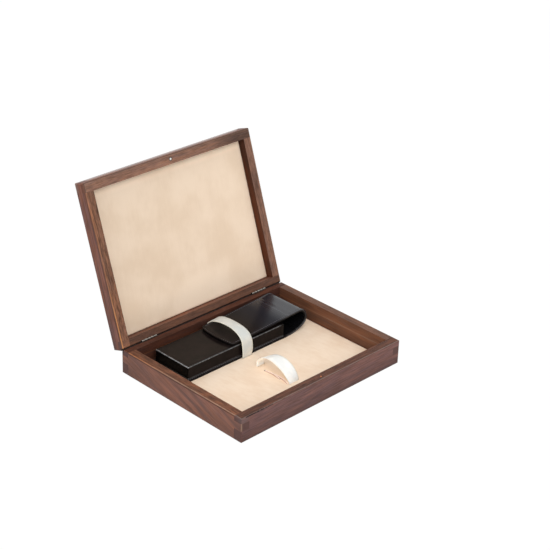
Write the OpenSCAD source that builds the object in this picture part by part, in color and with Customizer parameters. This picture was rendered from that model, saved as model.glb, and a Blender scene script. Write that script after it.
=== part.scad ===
// Hinged wooden presentation case with a fabric lining, two ribbon straps and a
// leather pen pouch held by the rear strap.
//
// The origin is the centre of the base's footprint, on the surface that it stands on.
// X runs along the hinge line, -Y is the front that opens, and +Z is up.
// The lid is drawn open on its stop. Both halves are the same kind of tray: the lid is
// the shallow one, turned over and swung about the hinge pins.

/* [Case] */
// Width along the hinge line
case_w = 220; // [200:1:300]
// Depth from the front to the hinge side
case_d = 172; // [150:1:240]
// Height of the base's walls
base_h = 26.6; // [24:0.1:30]
// Thickness of the wooden walls
wall_t = 10; // [8:0.5:12]
// Gap between the two rims when the lid is shut
rim_gap = 0.4; // [0.3:0.1:1]
// Radius on the outer edges
edge_round = 2; // [1:0.5:3]
// Chamfer along the outer edge of each rim
rim_chamfer = 0.8; // [0.4:0.1:1.5]
// Thickness of the panel that closes the base
base_panel_t = 3; // [2:0.5:5]
// Thickness of the panel that closes the lid
lid_panel_t = 4; // [3:0.5:6]
// Width of the rebate that holds each panel
rebate_w = 5; // [3:0.5:6]

/* [Corner joints] */
// Height of the front and rear walls' lower finger in the base
base_finger_low = 13; // [8:0.5:14]
// Height of the side walls' finger in the base
base_finger_side = 8.2; // [4:0.1:9]
// Height of the front and rear walls' outer finger in the lid
lid_finger_low = 5; // [4:0.1:6]
// Height of the side walls' finger in the lid
lid_finger_side = 5.2; // [3:0.1:6]

/* [Lining] */
// Thickness of the covering fabric
cover_t = 0.6; // [0.4:0.1:1]
// Thickness of the card under the padding
card_t = 1.2; // [0.8:0.1:2]
// Thickness of the padding in the base
base_foam_t = 0.6; // [0.4:0.1:2]
// Thickness of the padding in the lid
lid_foam_t = 0.8; // [0.4:0.1:2]
// Width of the hem that is turned under the card
hem_w = 12; // [8:1:20]
// Gap between a lining and the walls
lining_gap = 0.3; // [0.2:0.1:1]

/* [Hinges] */
// Distance of each hinge's middle from the end of the case
hinge_inset = 34; // [27:1:60]
// Length of each hinge
hinge_len = 20; // [16:1:30]
// Number of knuckles on each hinge
knuckle_count = 5; // [3:2:7]
// Gap between neighbouring knuckles
knuckle_gap = 0.5; // [0.3:0.05:0.7]
// Thickness of the leaves
leaf_t = 0.7; // [0.6:0.1:0.9]
// Depth that a leaf reaches from the pin into the wood
leaf_depth = 11; // [9:0.5:12]
// Diameter of the hinge pins
pin_d = 1.2; // [1:0.1:1.4]
// Radial clearance of the pins in the knuckles
pin_clearance = 0.05; // [0.03:0.01:0.1]
// Distance of the pins from the case's rear face
pin_inset = 2; // [1.6:0.1:2.4]
// Width of the bevel on the rear edge of each rim
hinge_bevel = 3; // [2.6:0.1:3.4]
// Room around each barrel in the wood
barrel_room = 0.3; // [0.2:0.1:0.5]
// Room around a leaf in its slot
slot_room = 0.05; // [0.03:0.01:0.1]
// Diameter of the brads that hold the leaves
brad_d = 1.2; // [0.8:0.1:1.5]
// Length of those brads
brad_len = 6; // [5:0.5:7]
// Distance of each brad from its hinge's middle
brad_x = 5; // [3:0.5:7]
// Angle at which the lid stops
lid_open = 109; // [95:1:115]

/* [Magnets] */
// Diameter of the two catch magnets
magnet_d = 4; // [3:0.5:6]
// Thickness of the magnets
magnet_t = 3; // [2:0.5:4]
// Clearance around a magnet and above it to the rim
magnet_room = 0.1; // [0.05:0.05:0.2]

/* [Straps] */
// Width of both ribbons
strap_w = 12.5; // [8:0.5:20]
// Thickness of the ribbons
strap_t = 0.6; // [0.4:0.1:1]
// Place of both ribbons along the case
strap_x = -2.5; // [-12:0.5:12]
// Room around a ribbon in its slit
slit_room = 0.3; // [0.2:0.1:0.5]
// Length of the ribbon ends glued under the card
strap_tail = 9; // [6:1:12]
// Distance between the feet of the front ribbon
loop_span = 46; // [34:1:50]
// Height of the front ribbon above the lining
loop_rise = 16; // [10:0.5:17]
// Distance between the two ribbons' facing feet
strap_spacing = 20.5; // [8:0.5:24]
// Gap between the rear ribbon's feet and the pouch
strap_side_gap = 0.6; // [0.4:0.1:1.2]
// Height of the rear ribbon's crown above the flap's bend
strap_lift = 7.5; // [7:0.1:9]
// Radius of the rear ribbon's shoulders
shoulder_r = 13; // [12:0.5:14]
// Radius of the rear ribbon's crown
crown_r = 60; // [50:1:90]
// Gap between the rear ribbon's crown and the lining of the shut lid
lid_headroom = 1.2; // [1:0.1:3]

/* [Pen pouch] */
// Length of the stiff sleeve
sleeve_l = 131.5; // [120:0.5:136]
// Width of the sleeve
sleeve_w = 49; // [40:0.5:52]
// Height of the sleeve above its base leather
sleeve_h = 14.3; // [12:0.1:16]
// Wall of the moulded sleeve
sleeve_wall = 1.6; // [1.2:0.1:2]
// Radius on the sleeve's moulded edges
sleeve_round = 1.2; // [0.6:0.1:1.5]
// Width of the sleeve's stitched flange
flange_w = 1.8; // [1.5:0.1:2.5]
// Thickness of the sleeve's stitched flange
flange_t = 1.2; // [0.8:0.1:1.6]
// Thickness of the outer leather
leather_t = 1.4; // [1:0.1:1.6]
// Thickness of the lining leather
inner_leather_t = 1.2; // [0.8:0.1:1.4]
// Thickness of the partition between the pens
divider_t = 1.2; // [0.8:0.1:2]
// Distance of the sleeve's closed end from the case's middle
sleeve_end_x = 79.5; // [76:0.5:84]
// Gap between the pouch and the rear wall
pouch_margin = 3.7; // [3.5:0.1:6]
// Distance from the sleeve's mouth to where the fold starts to rise
fold_start = 8; // [4:0.5:12]
// Distance from the sleeve's mouth to the outermost point of the fold
fold_reach = 33.5; // [33:0.5:36]
// Radius of the fold's tight side
fold_r = 10; // [9:0.5:10.5]
// Distance from the sleeve's mouth to the crease that the flap turns on
crease_reach = 12; // [10:0.5:14]
// Drop from the fold's top to the crease
crease_drop = 0.7; // [0.4:0.1:1]
// Height of the ridge that the crease raises on each side of the leather
crease_ridge = 0.1; // [0.05:0.05:0.2]
// Width of the flap
flap_w = 47.6; // [38:0.2:48]
// Length of the flap from its crease to its tip
flap_l = 86; // [70:1:95]
// Distance from the crease to the flap's bend
flap_bend = 44; // [30:1:55]
// Rise of the flap from its bend to the crease
crease_rise = 2.7; // [2:0.1:3.5]
// Rise of the flap from its tip to the bend
bend_rise = 1.6; // [1:0.1:2]
// Radius of the flap's curved tip
tip_r = 96; // [80:1:140]
// Radius of the tip's corners
tip_corner_r = 4; // [2:0.5:8]
// Angle that the flap opens through
flap_open = 120; // [95:5:130]

/* [Hidden] */
$fn = 96;

// Clearance between pieces that rest on each other and can come apart
REST_GAP = 0.3;
// Length by which a cutter passes the face it leaves through
OVERCUT = 1;
// Straight pieces in each curved stretch of the leather's side view
ARC_STEPS = 14;

WALNUT = [0.42, 0.28, 0.22];
PANEL_WOOD = [0.47, 0.33, 0.26];
LINING = [0.92, 0.82, 0.71];
CARD = [0.72, 0.66, 0.56];
FOAM = [0.93, 0.92, 0.87];
RIBBON = [0.92, 0.92, 0.87];
NICKEL = [0.78, 0.76, 0.72];
BLACK_LEATHER = [0.13, 0.11, 0.10];
BLACK_LINING = [0.07, 0.07, 0.08];

// Linings: each panel carries a hem, the card, the padding and the cover's face.
base_stack = 2 * cover_t + card_t + base_foam_t;
lid_stack = 2 * cover_t + card_t + lid_foam_t;
lining_z = base_panel_t + base_stack;
lining_w = case_w - 2 * (wall_t + lining_gap);
lining_d = case_d - 2 * (wall_t + lining_gap);

// Hinge line
hinge_x = case_w / 2 - hinge_inset;
pin_y = case_d / 2 - pin_inset;
pin_z = base_h + rim_gap / 2;
pin_r = pin_d / 2;
knuckle_r = pin_r + leaf_t;
knuckle_pitch = hinge_len / knuckle_count;
leaf_y = pin_y - knuckle_r;

// Pouch, from the leather under the sleeve up to the top of the fold
pouch_z = lining_z + REST_GAP;
sleeve_z = pouch_z + leather_t;
sleeve_top = sleeve_z + sleeve_h;
pouch_w = sleeve_w + 2 * flange_w;
pouch_y = case_d / 2 - wall_t - pouch_margin - pouch_w / 2;
mouth_x = sleeve_l - sleeve_end_x;
flap_t = leather_t + inner_leather_t;
tip_top_z = sleeve_top + REST_GAP + flap_t;
bend_top_z = tip_top_z + bend_rise;
crease_top_z = bend_top_z + crease_rise;
crease_x = mouth_x + crease_reach;
crease_z = crease_top_z - flap_t / 2;
nose_r = flap_t / 2 + crease_ridge;

// Side view of the fold: a wide sweep off the lining runs into a tight turn.
fold_top_z = crease_top_z + crease_drop;
turn_c = [mouth_x + fold_reach - fold_r, fold_top_z - fold_r];
sweep_x = mouth_x + fold_start;
turn_dx = turn_c.x - sweep_x;
turn_dz = turn_c.y - pouch_z;
sweep_r = (turn_dx ^ 2 + turn_dz ^ 2 - fold_r ^ 2) / (2 * (turn_dz - fold_r));
sweep_angle = atan2(turn_dx, sweep_r - turn_dz);

// Straps
strap_half_span = pouch_w / 2 + strap_side_gap + strap_t;
strap_top_z = bend_top_z + strap_lift;
loop_y = pouch_y - strap_half_span - strap_spacing - loop_span / 2;
loop_r = (loop_span ^ 2 / 4 + loop_rise ^ 2) / (2 * loop_rise);
shoulder_y = strap_half_span - shoulder_r;
shoulder_z = strap_top_z - crown_r + sqrt((crown_r - shoulder_r) ^ 2 - shoulder_y ^ 2);

// The lid is as tall as the shut case needs over the rear strap.
lid_h = strap_top_z + lid_headroom - base_h - rim_gap + lid_panel_t + lid_stack;
shut_h = base_h + rim_gap + lid_h;

function arc(centre, r, from, to) = [
    for (i = [0:ARC_STEPS])
        let (a = from + (to - from) * i / ARC_STEPS)
        centre + r * [cos(a), sin(a)]
];

function reversed(points) = [for (i = [len(points) - 1:-1:0]) points[i]];

// ---- Placing ----

// Turns a tray over onto the base and swings it open about the pins
module lid_place() {
    translate([0, pin_y, pin_z])
        rotate([-lid_open, 0, 0])
        translate([0, -pin_y, shut_h - pin_z])
        mirror([0, 0, 1])
        children();
}

// Stands a drawing of the YZ plane up, as thick as width, centred on x
module across_x(x, width) {
    translate([x - width / 2, 0, 0])
        rotate([90, 0, 90])
        linear_extrude(width)
        children();
}

// Stands a drawing of the XZ plane up, as thick as width, centred on y
module along_x(y, width) {
    translate([0, y + width / 2, 0])
        rotate([90, 0, 0])
        linear_extrude(width)
        children();
}

module block(x0, x1, y0, y1, z0, z1) {
    translate([x0, y0, z0]) cube([x1 - x0, y1 - y0, z1 - z0]);
}

// ---- Case ----

// Upright section of a tray: rounded below, and cut back by front and rear at the rim
module tray_section(width, height, front, rear) {
    difference() {
        union() {
            translate([edge_round - width / 2, 0]) square([width - 2 * edge_round, height]);
            translate([-width / 2, edge_round]) square([width, height - edge_round]);
            for (side = [-1, 1])
                translate([side * (width / 2 - edge_round), edge_round]) circle(edge_round);
        }
        polygon([[-width / 2, height - front], [-width / 2 + front, height],
                 [-width / 2, height]]);
        polygon([[width / 2, height - rear], [width / 2 - rear, height],
                 [width / 2, height]]);
    }
}

module tray_plan() {
    union() {
        square([case_w - 2 * edge_round, case_d], center = true);
        square([case_w, case_d - 2 * edge_round], center = true);
        for (sx = [-1, 1], sy = [-1, 1])
            translate([sx * (case_w / 2 - edge_round), sy * (case_d / 2 - edge_round)])
                circle(edge_round);
    }
}

// Outer shape of a whole tray, with every edge finished
module tray_envelope(height) {
    intersection() {
        linear_extrude(height) tray_plan();
        along_x(0, case_d) tray_section(case_w, height, rim_chamfer, rim_chamfer);
        across_x(0, case_w) tray_section(case_d, height, rim_chamfer, hinge_bevel);
    }
}

module tray_panel(thickness) {
    inset = wall_t - rebate_w;
    block(inset - case_w / 2, case_w / 2 - inset, inset - case_d / 2, case_d / 2 - inset,
          0, thickness);
}

// A front (side = -1) or rear (side = 1) wall. Its ends run out to the corners except
// where the side walls' finger passes, from low up by finger.
module long_wall(side, height, low, finger, panel_t) {
    y0 = side * case_d / 2 - (side > 0 ? wall_t : 0);
    intersection() {
        tray_envelope(height);
        difference() {
            block(-case_w / 2, case_w / 2, y0, y0 + wall_t, 0, height);
            for (end = [-1, 1])
                translate([end * (case_w - wall_t) / 2, y0 + wall_t / 2, low + finger / 2])
                    cube([wall_t, wall_t, finger], center = true);
            tray_panel(panel_t);
        }
    }
}

// A left (side = -1) or right (side = 1) wall, with its finger through both corners
module side_wall(side, height, low, finger, panel_t) {
    x0 = side * case_w / 2 - (side > 0 ? wall_t : 0);
    inner_d = case_d - 2 * wall_t;
    intersection() {
        tray_envelope(height);
        difference() {
            union() {
                block(x0, x0 + wall_t, -inner_d / 2, inner_d / 2, 0, height);
                block(x0, x0 + wall_t, -case_d / 2, case_d / 2, low, low + finger);
            }
            tray_panel(panel_t);
        }
    }
}

// ---- Catch magnets ----

module magnet(height, room) {
    translate([0, (wall_t - case_d) / 2, height - magnet_room - magnet_t - room])
        cylinder(h = magnet_t + room + (room > 0 ? OVERCUT : 0), r = magnet_d / 2 + room);
}

// ---- Hinges, drawn for a tray whose rim is at height ----

function knuckles(first) = [for (i = [first:2:knuckle_count - 1]) i];

module hinge_rod(r, x0, length, height) {
    translate([x0, pin_y, height + rim_gap / 2]) rotate([0, 90, 0]) cylinder(h = length, r = r);
}

module brads(height, r, extra) {
    for (side = [-1, 1], end = [-1, 1])
        translate([side * hinge_x + end * brad_x, case_d / 2 + extra,
                   height + rim_gap / 2 - (knuckle_r + leaf_depth) / 2])
            rotate([90, 0, 0]) cylinder(h = brad_len + extra, r = r);
}

// One leaf: a plate in the wood, with a rolled knuckle at every second place
module hinge_leaf(side, height, first) {
    x0 = side * hinge_x - hinge_len / 2;
    axis_z = height + rim_gap / 2;
    plate_top = axis_z - knuckle_r - barrel_room;
    difference() {
        union() {
            block(x0, x0 + hinge_len, leaf_y, leaf_y + leaf_t, axis_z - leaf_depth, plate_top);
            for (i = knuckles(first)) {
                from = x0 + i * knuckle_pitch + knuckle_gap / 2;
                span = knuckle_pitch - knuckle_gap;
                block(from, from + span, leaf_y, leaf_y + leaf_t, plate_top, axis_z);
                hinge_rod(knuckle_r, from, span, height);
            }
        }
        hinge_rod(pin_r + pin_clearance, x0 - OVERCUT, hinge_len + 2 * OVERCUT, height);
        brads(height, brad_d / 2 + pin_clearance, 0);
    }
}

module hinge_pin(side) {
    hinge_rod(pin_r, side * hinge_x - hinge_len / 2, hinge_len, base_h);
}

// What the rear wall loses to both hinges: barrel grooves, leaf slots and brad holes
module hinge_cuts(height) {
    for (side = [-1, 1]) {
        x0 = side * hinge_x - hinge_len / 2 - barrel_room;
        length = hinge_len + 2 * barrel_room;
        hinge_rod(knuckle_r + barrel_room, x0, length, height);
        block(x0, x0 + length, leaf_y - slot_room, leaf_y + leaf_t + slot_room,
              height + rim_gap / 2 - leaf_depth - slot_room, height + OVERCUT);
    }
    brads(height, brad_d / 2 + pin_clearance, OVERCUT);
}

// ---- Linings, drawn on a panel of panel_t ----

module lining_layer(z, thickness, margin) {
    block(margin - lining_w / 2, lining_w / 2 - margin,
          margin - lining_d / 2, lining_d / 2 - margin, z, z + thickness);
}

// The fabric covers the face, passes round the edges and is turned under as a hem
module lining_cover(panel_t, stack) {
    difference() {
        lining_layer(panel_t, stack, 0);
        lining_layer(panel_t + cover_t, stack - 2 * cover_t, cover_t);
        lining_layer(panel_t - OVERCUT, cover_t + 2 * OVERCUT, hem_w);
    }
}

// ---- Straps ----

function strap_feet() = [
    for (side = [-1, 1]) [loop_y, loop_span / 2, side],
    for (side = [-1, 1]) [pouch_y, strap_half_span, side],
];

// Slits through the lining for all four ribbon ends
module strap_slits() {
    for (foot = strap_feet()) {
        outer = foot[0] + foot[2] * (foot[1] + slit_room);
        inner = foot[0] + foot[2] * (foot[1] - strap_t - slit_room);
        block(strap_x - strap_w / 2 - slit_room, strap_x + strap_w / 2 + slit_room,
              min(outer, inner), max(outer, inner), base_panel_t - OVERCUT, lining_z + OVERCUT);
    }
}

// Room for the ribbon ends where they cross the cover's hem
module strap_channels() {
    for (foot = strap_feet()) {
        outer = foot[0] + foot[2] * (foot[1] + slit_room);
        inner = foot[0] + foot[2] * (foot[1] - strap_tail - slit_room);
        block(strap_x - strap_w / 2 - slit_room, strap_x + strap_w / 2 + slit_room,
              min(outer, inner), max(outer, inner), base_panel_t - OVERCUT, base_panel_t + cover_t);
    }
}

// Side view of both ends of a ribbon: down through the slit and in under the card
module strap_ends(half_span, top_z) {
    for (side = [0, 1]) mirror([side, 0]) {
        translate([half_span - strap_t, base_panel_t])
            square([strap_t, top_z - base_panel_t]);
        translate([half_span - strap_tail, base_panel_t]) square([strap_tail, cover_t]);
    }
}

module ring(r) {
    difference() {
        circle(r);
        circle(r - strap_t);
    }
}

module pen_strap() color(RIBBON) translate([0, loop_y, 0]) across_x(strap_x, strap_w) {
    foot_z = lining_z + strap_t / 2;
    intersection() {
        translate([0, lining_z + loop_rise - loop_r]) ring(loop_r);
        translate([-loop_r, foot_z - strap_t]) square([2 * loop_r, 2 * loop_r]);
    }
    strap_ends(loop_span / 2, foot_z);
}

module pouch_strap() color(RIBBON) translate([0, pouch_y, 0]) across_x(strap_x, strap_w) {
    crown_z = strap_top_z - crown_r;
    lean = atan2(shoulder_y, shoulder_z - crown_z);
    reach = 2 * crown_r;
    wedge_x = reach * sin(lean);
    wedge_z = crown_z + reach * cos(lean);
    // The crown lies between the two shoulders' tangent points.
    intersection() {
        translate([0, crown_z]) ring(crown_r);
        polygon([[0, crown_z], [-wedge_x, wedge_z], [wedge_x, wedge_z]]);
    }
    for (side = [0, 1]) mirror([side, 0]) intersection() {
        translate([shoulder_y, shoulder_z]) ring(shoulder_r);
        polygon([[shoulder_y, shoulder_z], [wedge_x, wedge_z],
                 [reach, wedge_z], [reach, shoulder_z]]);
    }
    strap_ends(strap_half_span, shoulder_z);
}

// ---- Pen pouch ----

// Where the back leather ends at one depth in its thickness: clear of the flap's nose
// while the flap is shut, and of the flap's outer face once that is open
function strip_end(depth) = crease_x + max(
    nose_r + REST_GAP,
    (flap_t / 2 + REST_GAP + (depth - flap_t / 2) * cos(flap_open)) / sin(flap_open)
);

// Side view of the back leather at one depth in its thickness, from x0 to the crease
function strip_line(depth, x0) = concat(
    [[x0, pouch_z + depth]],
    arc([sweep_x, pouch_z + sweep_r], sweep_r - depth, -90, sweep_angle - 90),
    arc(turn_c, fold_r - depth, sweep_angle - 90, 90),
    [[strip_end(depth), crease_top_z - depth]]
);

module strip(from_depth, to_depth, x0, width) {
    along_x(pouch_y, width)
        polygon(concat(strip_line(from_depth, x0), reversed(strip_line(to_depth, x0))));
}

module pouch_back_strip() color(BLACK_LEATHER)
    strip(0, leather_t, -sleeve_end_x - flange_w, pouch_w);

module pouch_fold_lining() color(BLACK_LINING)
    strip(leather_t, flap_t, mouth_x + REST_GAP, pouch_w);

// Outside of the moulded sleeve, with its upper and end edges rounded
module sleeve_form() {
    r = sleeve_round;
    length = sleeve_l;
    intersection() {
        block(-sleeve_end_x, mouth_x, pouch_y - sleeve_w / 2, pouch_y + sleeve_w / 2,
              sleeve_z, sleeve_top);
        translate([0, 0, sleeve_z]) linear_extrude(sleeve_h) union() {
            translate([r - sleeve_end_x, pouch_y - sleeve_w / 2]) square([length, sleeve_w]);
            translate([-sleeve_end_x, pouch_y + r - sleeve_w / 2])
                square([length, sleeve_w - 2 * r]);
            for (side = [-1, 1])
                translate([r - sleeve_end_x, pouch_y + side * (sleeve_w / 2 - r)]) circle(r);
        }
        across_x((mouth_x - sleeve_end_x) / 2, length) union() {
            translate([pouch_y - sleeve_w / 2, sleeve_z]) square([sleeve_w, sleeve_h - r]);
            translate([pouch_y + r - sleeve_w / 2, sleeve_z])
                square([sleeve_w - 2 * r, sleeve_h]);
            for (side = [-1, 1])
                translate([pouch_y + side * (sleeve_w / 2 - r), sleeve_top - r]) circle(r);
        }
        along_x(pouch_y, sleeve_w) union() {
            translate([-sleeve_end_x, sleeve_z]) square([length, sleeve_h - r]);
            translate([r - sleeve_end_x, sleeve_z]) square([length, sleeve_h]);
            translate([r - sleeve_end_x, sleeve_top - r]) circle(r);
        }
    }
}

module pouch_sleeve() color(BLACK_LEATHER) difference() {
    union() {
        sleeve_form();
        block(-sleeve_end_x - flange_w, mouth_x, pouch_y - pouch_w / 2, pouch_y + pouch_w / 2,
              sleeve_z, sleeve_z + flange_t);
    }
    block(sleeve_wall - sleeve_end_x, mouth_x + OVERCUT,
          pouch_y + sleeve_wall - sleeve_w / 2, pouch_y - sleeve_wall + sleeve_w / 2,
          sleeve_z - OVERCUT, sleeve_top - sleeve_wall);
}

module pouch_divider() color(BLACK_LINING)
    block(sleeve_wall - sleeve_end_x, mouth_x - flange_w,
          pouch_y - divider_t / 2, pouch_y + divider_t / 2,
          sleeve_z, sleeve_top - sleeve_wall);

// Plan of the flap: a curved tip with rounded corners
module flap_plan() {
    tip_x = crease_x - flap_l;
    sag = tip_r - sqrt(tip_r ^ 2 - flap_w ^ 2 / 4);
    corner_x = tip_x + sag + tip_corner_r;
    intersection() {
        translate([tip_x + tip_r, pouch_y]) circle(tip_r, $fn = 4 * $fn);
        union() {
            translate([tip_x, pouch_y + tip_corner_r - flap_w / 2])
                square([flap_l, flap_w - 2 * tip_corner_r]);
            translate([corner_x, pouch_y - flap_w / 2]) square([flap_l, flap_w]);
            for (side = [-1, 1])
                translate([corner_x, pouch_y + side * (flap_w / 2 - tip_corner_r)])
                    circle(tip_corner_r);
        }
    }
}

// Side view of the flap at one depth in its thickness, up to x1
function flap_line(depth, x1) = [
    [crease_x - flap_l - OVERCUT, tip_top_z - depth],
    [crease_x - flap_bend, bend_top_z - depth],
    [x1, crease_top_z - depth - crease_rise * (crease_x - x1) / flap_bend],
];

module flap_layer(from_depth, to_depth, x1) {
    intersection() {
        translate([0, 0, sleeve_top]) linear_extrude(fold_top_z - sleeve_top) flap_plan();
        along_x(pouch_y, flap_w)
            polygon(concat(flap_line(from_depth, x1), reversed(flap_line(to_depth, x1))));
    }
}

// The outer leather ends in a round nose on the crease's axis.
module pouch_flap() color(BLACK_LEATHER) union() {
    flap_layer(0, leather_t, crease_x);
    translate([crease_x, pouch_y - flap_w / 2, crease_z])
        rotate([-90, 0, 0]) cylinder(h = flap_w, r = nose_r);
}

module pouch_flap_lining() color(BLACK_LINING)
    flap_layer(leather_t, flap_t, crease_x - nose_r);

// ---- Base ----

module base_front_wall() color(WALNUT) difference() {
    long_wall(-1, base_h, base_finger_low, base_finger_side, base_panel_t);
    magnet(base_h, magnet_room);
}

module base_back_wall() color(WALNUT) difference() {
    long_wall(1, base_h, base_finger_low, base_finger_side, base_panel_t);
    hinge_cuts(base_h);
}

module base_side_wall(side) color(WALNUT)
    side_wall(side, base_h, base_finger_low, base_finger_side, base_panel_t);

module base_bottom_panel() color(PANEL_WOOD) tray_panel(base_panel_t);

module base_lining_card() color(CARD) difference() {
    lining_layer(base_panel_t + cover_t, card_t, cover_t);
    strap_slits();
}

module base_lining_foam() color(FOAM) difference() {
    lining_layer(base_panel_t + cover_t + card_t, base_foam_t, cover_t);
    strap_slits();
}

module base_lining_cover() color(LINING) difference() {
    lining_cover(base_panel_t, base_stack);
    strap_slits();
    strap_channels();
}

module base_magnet() color(NICKEL) magnet(base_h, 0);

module base_hinge_leaf(side) color(NICKEL) hinge_leaf(side, base_h, 0);

module base_hinge_brads() color(NICKEL) brads(base_h, brad_d / 2, 0);

// ---- Lid ----

module lid_front_wall() color(WALNUT) lid_place() difference() {
    long_wall(-1, lid_h, lid_finger_low, lid_finger_side, lid_panel_t);
    magnet(lid_h, magnet_room);
}

module lid_back_wall() color(WALNUT) lid_place() difference() {
    long_wall(1, lid_h, lid_finger_low, lid_finger_side, lid_panel_t);
    hinge_cuts(lid_h);
}

module lid_side_wall(side) color(WALNUT) lid_place()
    side_wall(side, lid_h, lid_finger_low, lid_finger_side, lid_panel_t);

module lid_top_panel() color(PANEL_WOOD) lid_place() tray_panel(lid_panel_t);

module lid_lining_card() color(CARD) lid_place()
    lining_layer(lid_panel_t + cover_t, card_t, cover_t);

module lid_lining_foam() color(FOAM) lid_place()
    lining_layer(lid_panel_t + cover_t + card_t, lid_foam_t, cover_t);

module lid_lining_cover() color(LINING) lid_place() lining_cover(lid_panel_t, lid_stack);

module lid_magnet() color(NICKEL) lid_place() magnet(lid_h, 0);

module lid_hinge_leaf(side) color(NICKEL) lid_place() hinge_leaf(side, lid_h, 1);

module lid_hinge_brads() color(NICKEL) lid_place() brads(lid_h, brad_d / 2, 0);

base_front_wall();
base_back_wall();
base_side_wall(-1);  // base_left_wall
base_side_wall(1);  // base_right_wall
base_bottom_panel();
base_lining_card();
base_lining_foam();
base_lining_cover();
base_magnet();
pen_strap();
pouch_strap();
base_hinge_leaf(-1);  // hinge_left_base_leaf
base_hinge_leaf(1);  // hinge_right_base_leaf
color(NICKEL) hinge_pin(-1);  // hinge_left_pin
color(NICKEL) hinge_pin(1);  // hinge_right_pin
base_hinge_brads();
lid_front_wall();
lid_back_wall();
lid_side_wall(-1);  // lid_left_wall
lid_side_wall(1);  // lid_right_wall
lid_top_panel();
lid_lining_card();
lid_lining_foam();
lid_lining_cover();
lid_magnet();
lid_hinge_leaf(-1);  // hinge_left_lid_leaf
lid_hinge_leaf(1);  // hinge_right_lid_leaf
lid_hinge_brads();
pouch_sleeve();
pouch_divider();
pouch_back_strip();
pouch_fold_lining();
pouch_flap();
pouch_flap_lining();
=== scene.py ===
"""Looks of a hinged wooden presentation case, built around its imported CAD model.

The case stands open. Its two trays are finger-jointed walnut boards, lined with a pale
napped fabric. Two satin bands rise out of the base's lining: the rear one holds a black
leather pouch for two pens, and the front one is an empty loop. Sizes are in millimetres:
x runs along the hinge line, y to the rear and z up. Each mesh is turned into metres as
it is made.
"""

import logging
import math
from dataclasses import dataclass, field
from enum import Enum
from typing import Callable, Dict, List, NamedTuple, Optional, Sequence, Tuple, Union

import bmesh
import bpy
from mathutils import Matrix, Vector


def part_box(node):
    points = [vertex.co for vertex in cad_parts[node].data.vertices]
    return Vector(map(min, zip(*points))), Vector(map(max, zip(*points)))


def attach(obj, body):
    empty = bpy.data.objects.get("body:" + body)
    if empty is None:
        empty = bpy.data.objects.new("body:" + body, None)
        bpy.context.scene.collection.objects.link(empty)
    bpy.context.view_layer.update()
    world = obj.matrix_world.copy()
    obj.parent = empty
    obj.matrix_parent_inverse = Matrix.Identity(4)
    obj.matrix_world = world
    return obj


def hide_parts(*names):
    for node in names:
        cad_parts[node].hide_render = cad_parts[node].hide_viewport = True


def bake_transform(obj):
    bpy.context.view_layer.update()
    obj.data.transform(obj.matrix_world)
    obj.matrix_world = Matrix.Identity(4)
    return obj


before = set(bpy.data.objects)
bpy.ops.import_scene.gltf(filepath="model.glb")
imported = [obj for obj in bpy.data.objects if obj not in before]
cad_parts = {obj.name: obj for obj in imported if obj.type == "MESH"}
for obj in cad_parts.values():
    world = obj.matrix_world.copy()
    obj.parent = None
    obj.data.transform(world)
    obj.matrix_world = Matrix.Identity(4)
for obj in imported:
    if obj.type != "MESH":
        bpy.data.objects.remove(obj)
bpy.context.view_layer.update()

log = logging.getLogger("case")

MM = 0.001

Colour = Tuple[float, float, float, float]
Flat = Tuple[float, float]
Point = Tuple[float, float, float]
Face = Tuple[int, ...]
Border = List[Tuple[int, int, Flat]]
Piece = bpy.types.Object
Material = bpy.types.Material


def colour(red: int, green: int, blue: int) -> Colour:
    """Turn a screen colour into the linear colour that a shader takes.

    Args:
        red: Red, from 0 to 255.
        green: Green, from 0 to 255.
        blue: Blue, from 0 to 255.

    Returns:
        The linear colour, opaque.
    """

    def linear(level: int) -> float:
        """Undo the screen curve of one channel."""
        share = level / 255
        return share / 12.92 if share <= 0.04045 else ((share + 0.055) / 1.055) ** 2.4

    return (linear(red), linear(green), linear(blue), 1.0)


def smooth(share: float) -> float:
    """Ease a share from 0 to 1."""
    held = min(max(share, 0.0), 1.0)
    return held * held * (3 - 2 * held)


def bell(distance: float, width: float) -> float:
    """Height of a bell curve at a distance from its middle."""
    return math.exp(-((distance / width) ** 2))


def stations(start: float, end: float, step: float, extra: Sequence[float] = ()) -> List[float]:
    """Spread stations evenly and add a few exact ones.

    Args:
        start: First station.
        end: Last station.
        step: Longest distance between two stations.
        extra: Stations that have to be there.

    Returns:
        The sorted stations, with no even one closer to an exact one than a third of a step.
    """
    count = max(1, math.ceil((end - start) / step))
    exact = [start, end] + [place for place in extra if start < place < end]
    spread = [start + (end - start) * i / count for i in range(1, count)]
    kept = [s for s in spread if min(abs(s - e) for e in exact) > step * 0.3]
    return sorted(set(exact + kept))


# ---- Shader graphs ----


class Wire:
    """An output of a shader node. Arithmetic on it adds Math nodes."""

    def __init__(self, graph: "Graph", socket: bpy.types.NodeSocket) -> None:
        """Keep the graph and the socket."""
        self.graph = graph
        self.socket = socket

    def output(self, name: str) -> "Wire":
        """Another output of the same node."""
        return Wire(self.graph, self.socket.node.outputs[name])

    def __add__(self, other: "Operand") -> "Wire":
        """Sum with a wire or a number."""
        return self.graph.math("ADD", self, other)

    __radd__ = __add__

    def __sub__(self, other: "Operand") -> "Wire":
        """Difference with a wire or a number."""
        return self.graph.math("SUBTRACT", self, other)

    def __rsub__(self, other: "Operand") -> "Wire":
        """Difference of a number and this wire."""
        return self.graph.math("SUBTRACT", other, self)

    def __mul__(self, other: "Operand") -> "Wire":
        """Product with a wire or a number."""
        return self.graph.math("MULTIPLY", self, other)

    __rmul__ = __mul__

    def __truediv__(self, other: "Operand") -> "Wire":
        """Quotient with a wire or a number."""
        return self.graph.math("DIVIDE", self, other)

    def __pow__(self, power: "Operand") -> "Wire":
        """Power of this wire."""
        return self.graph.math("POWER", self, power)

    def __abs__(self) -> "Wire":
        """Absolute value."""
        return self.graph.math("ABSOLUTE", self)


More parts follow.
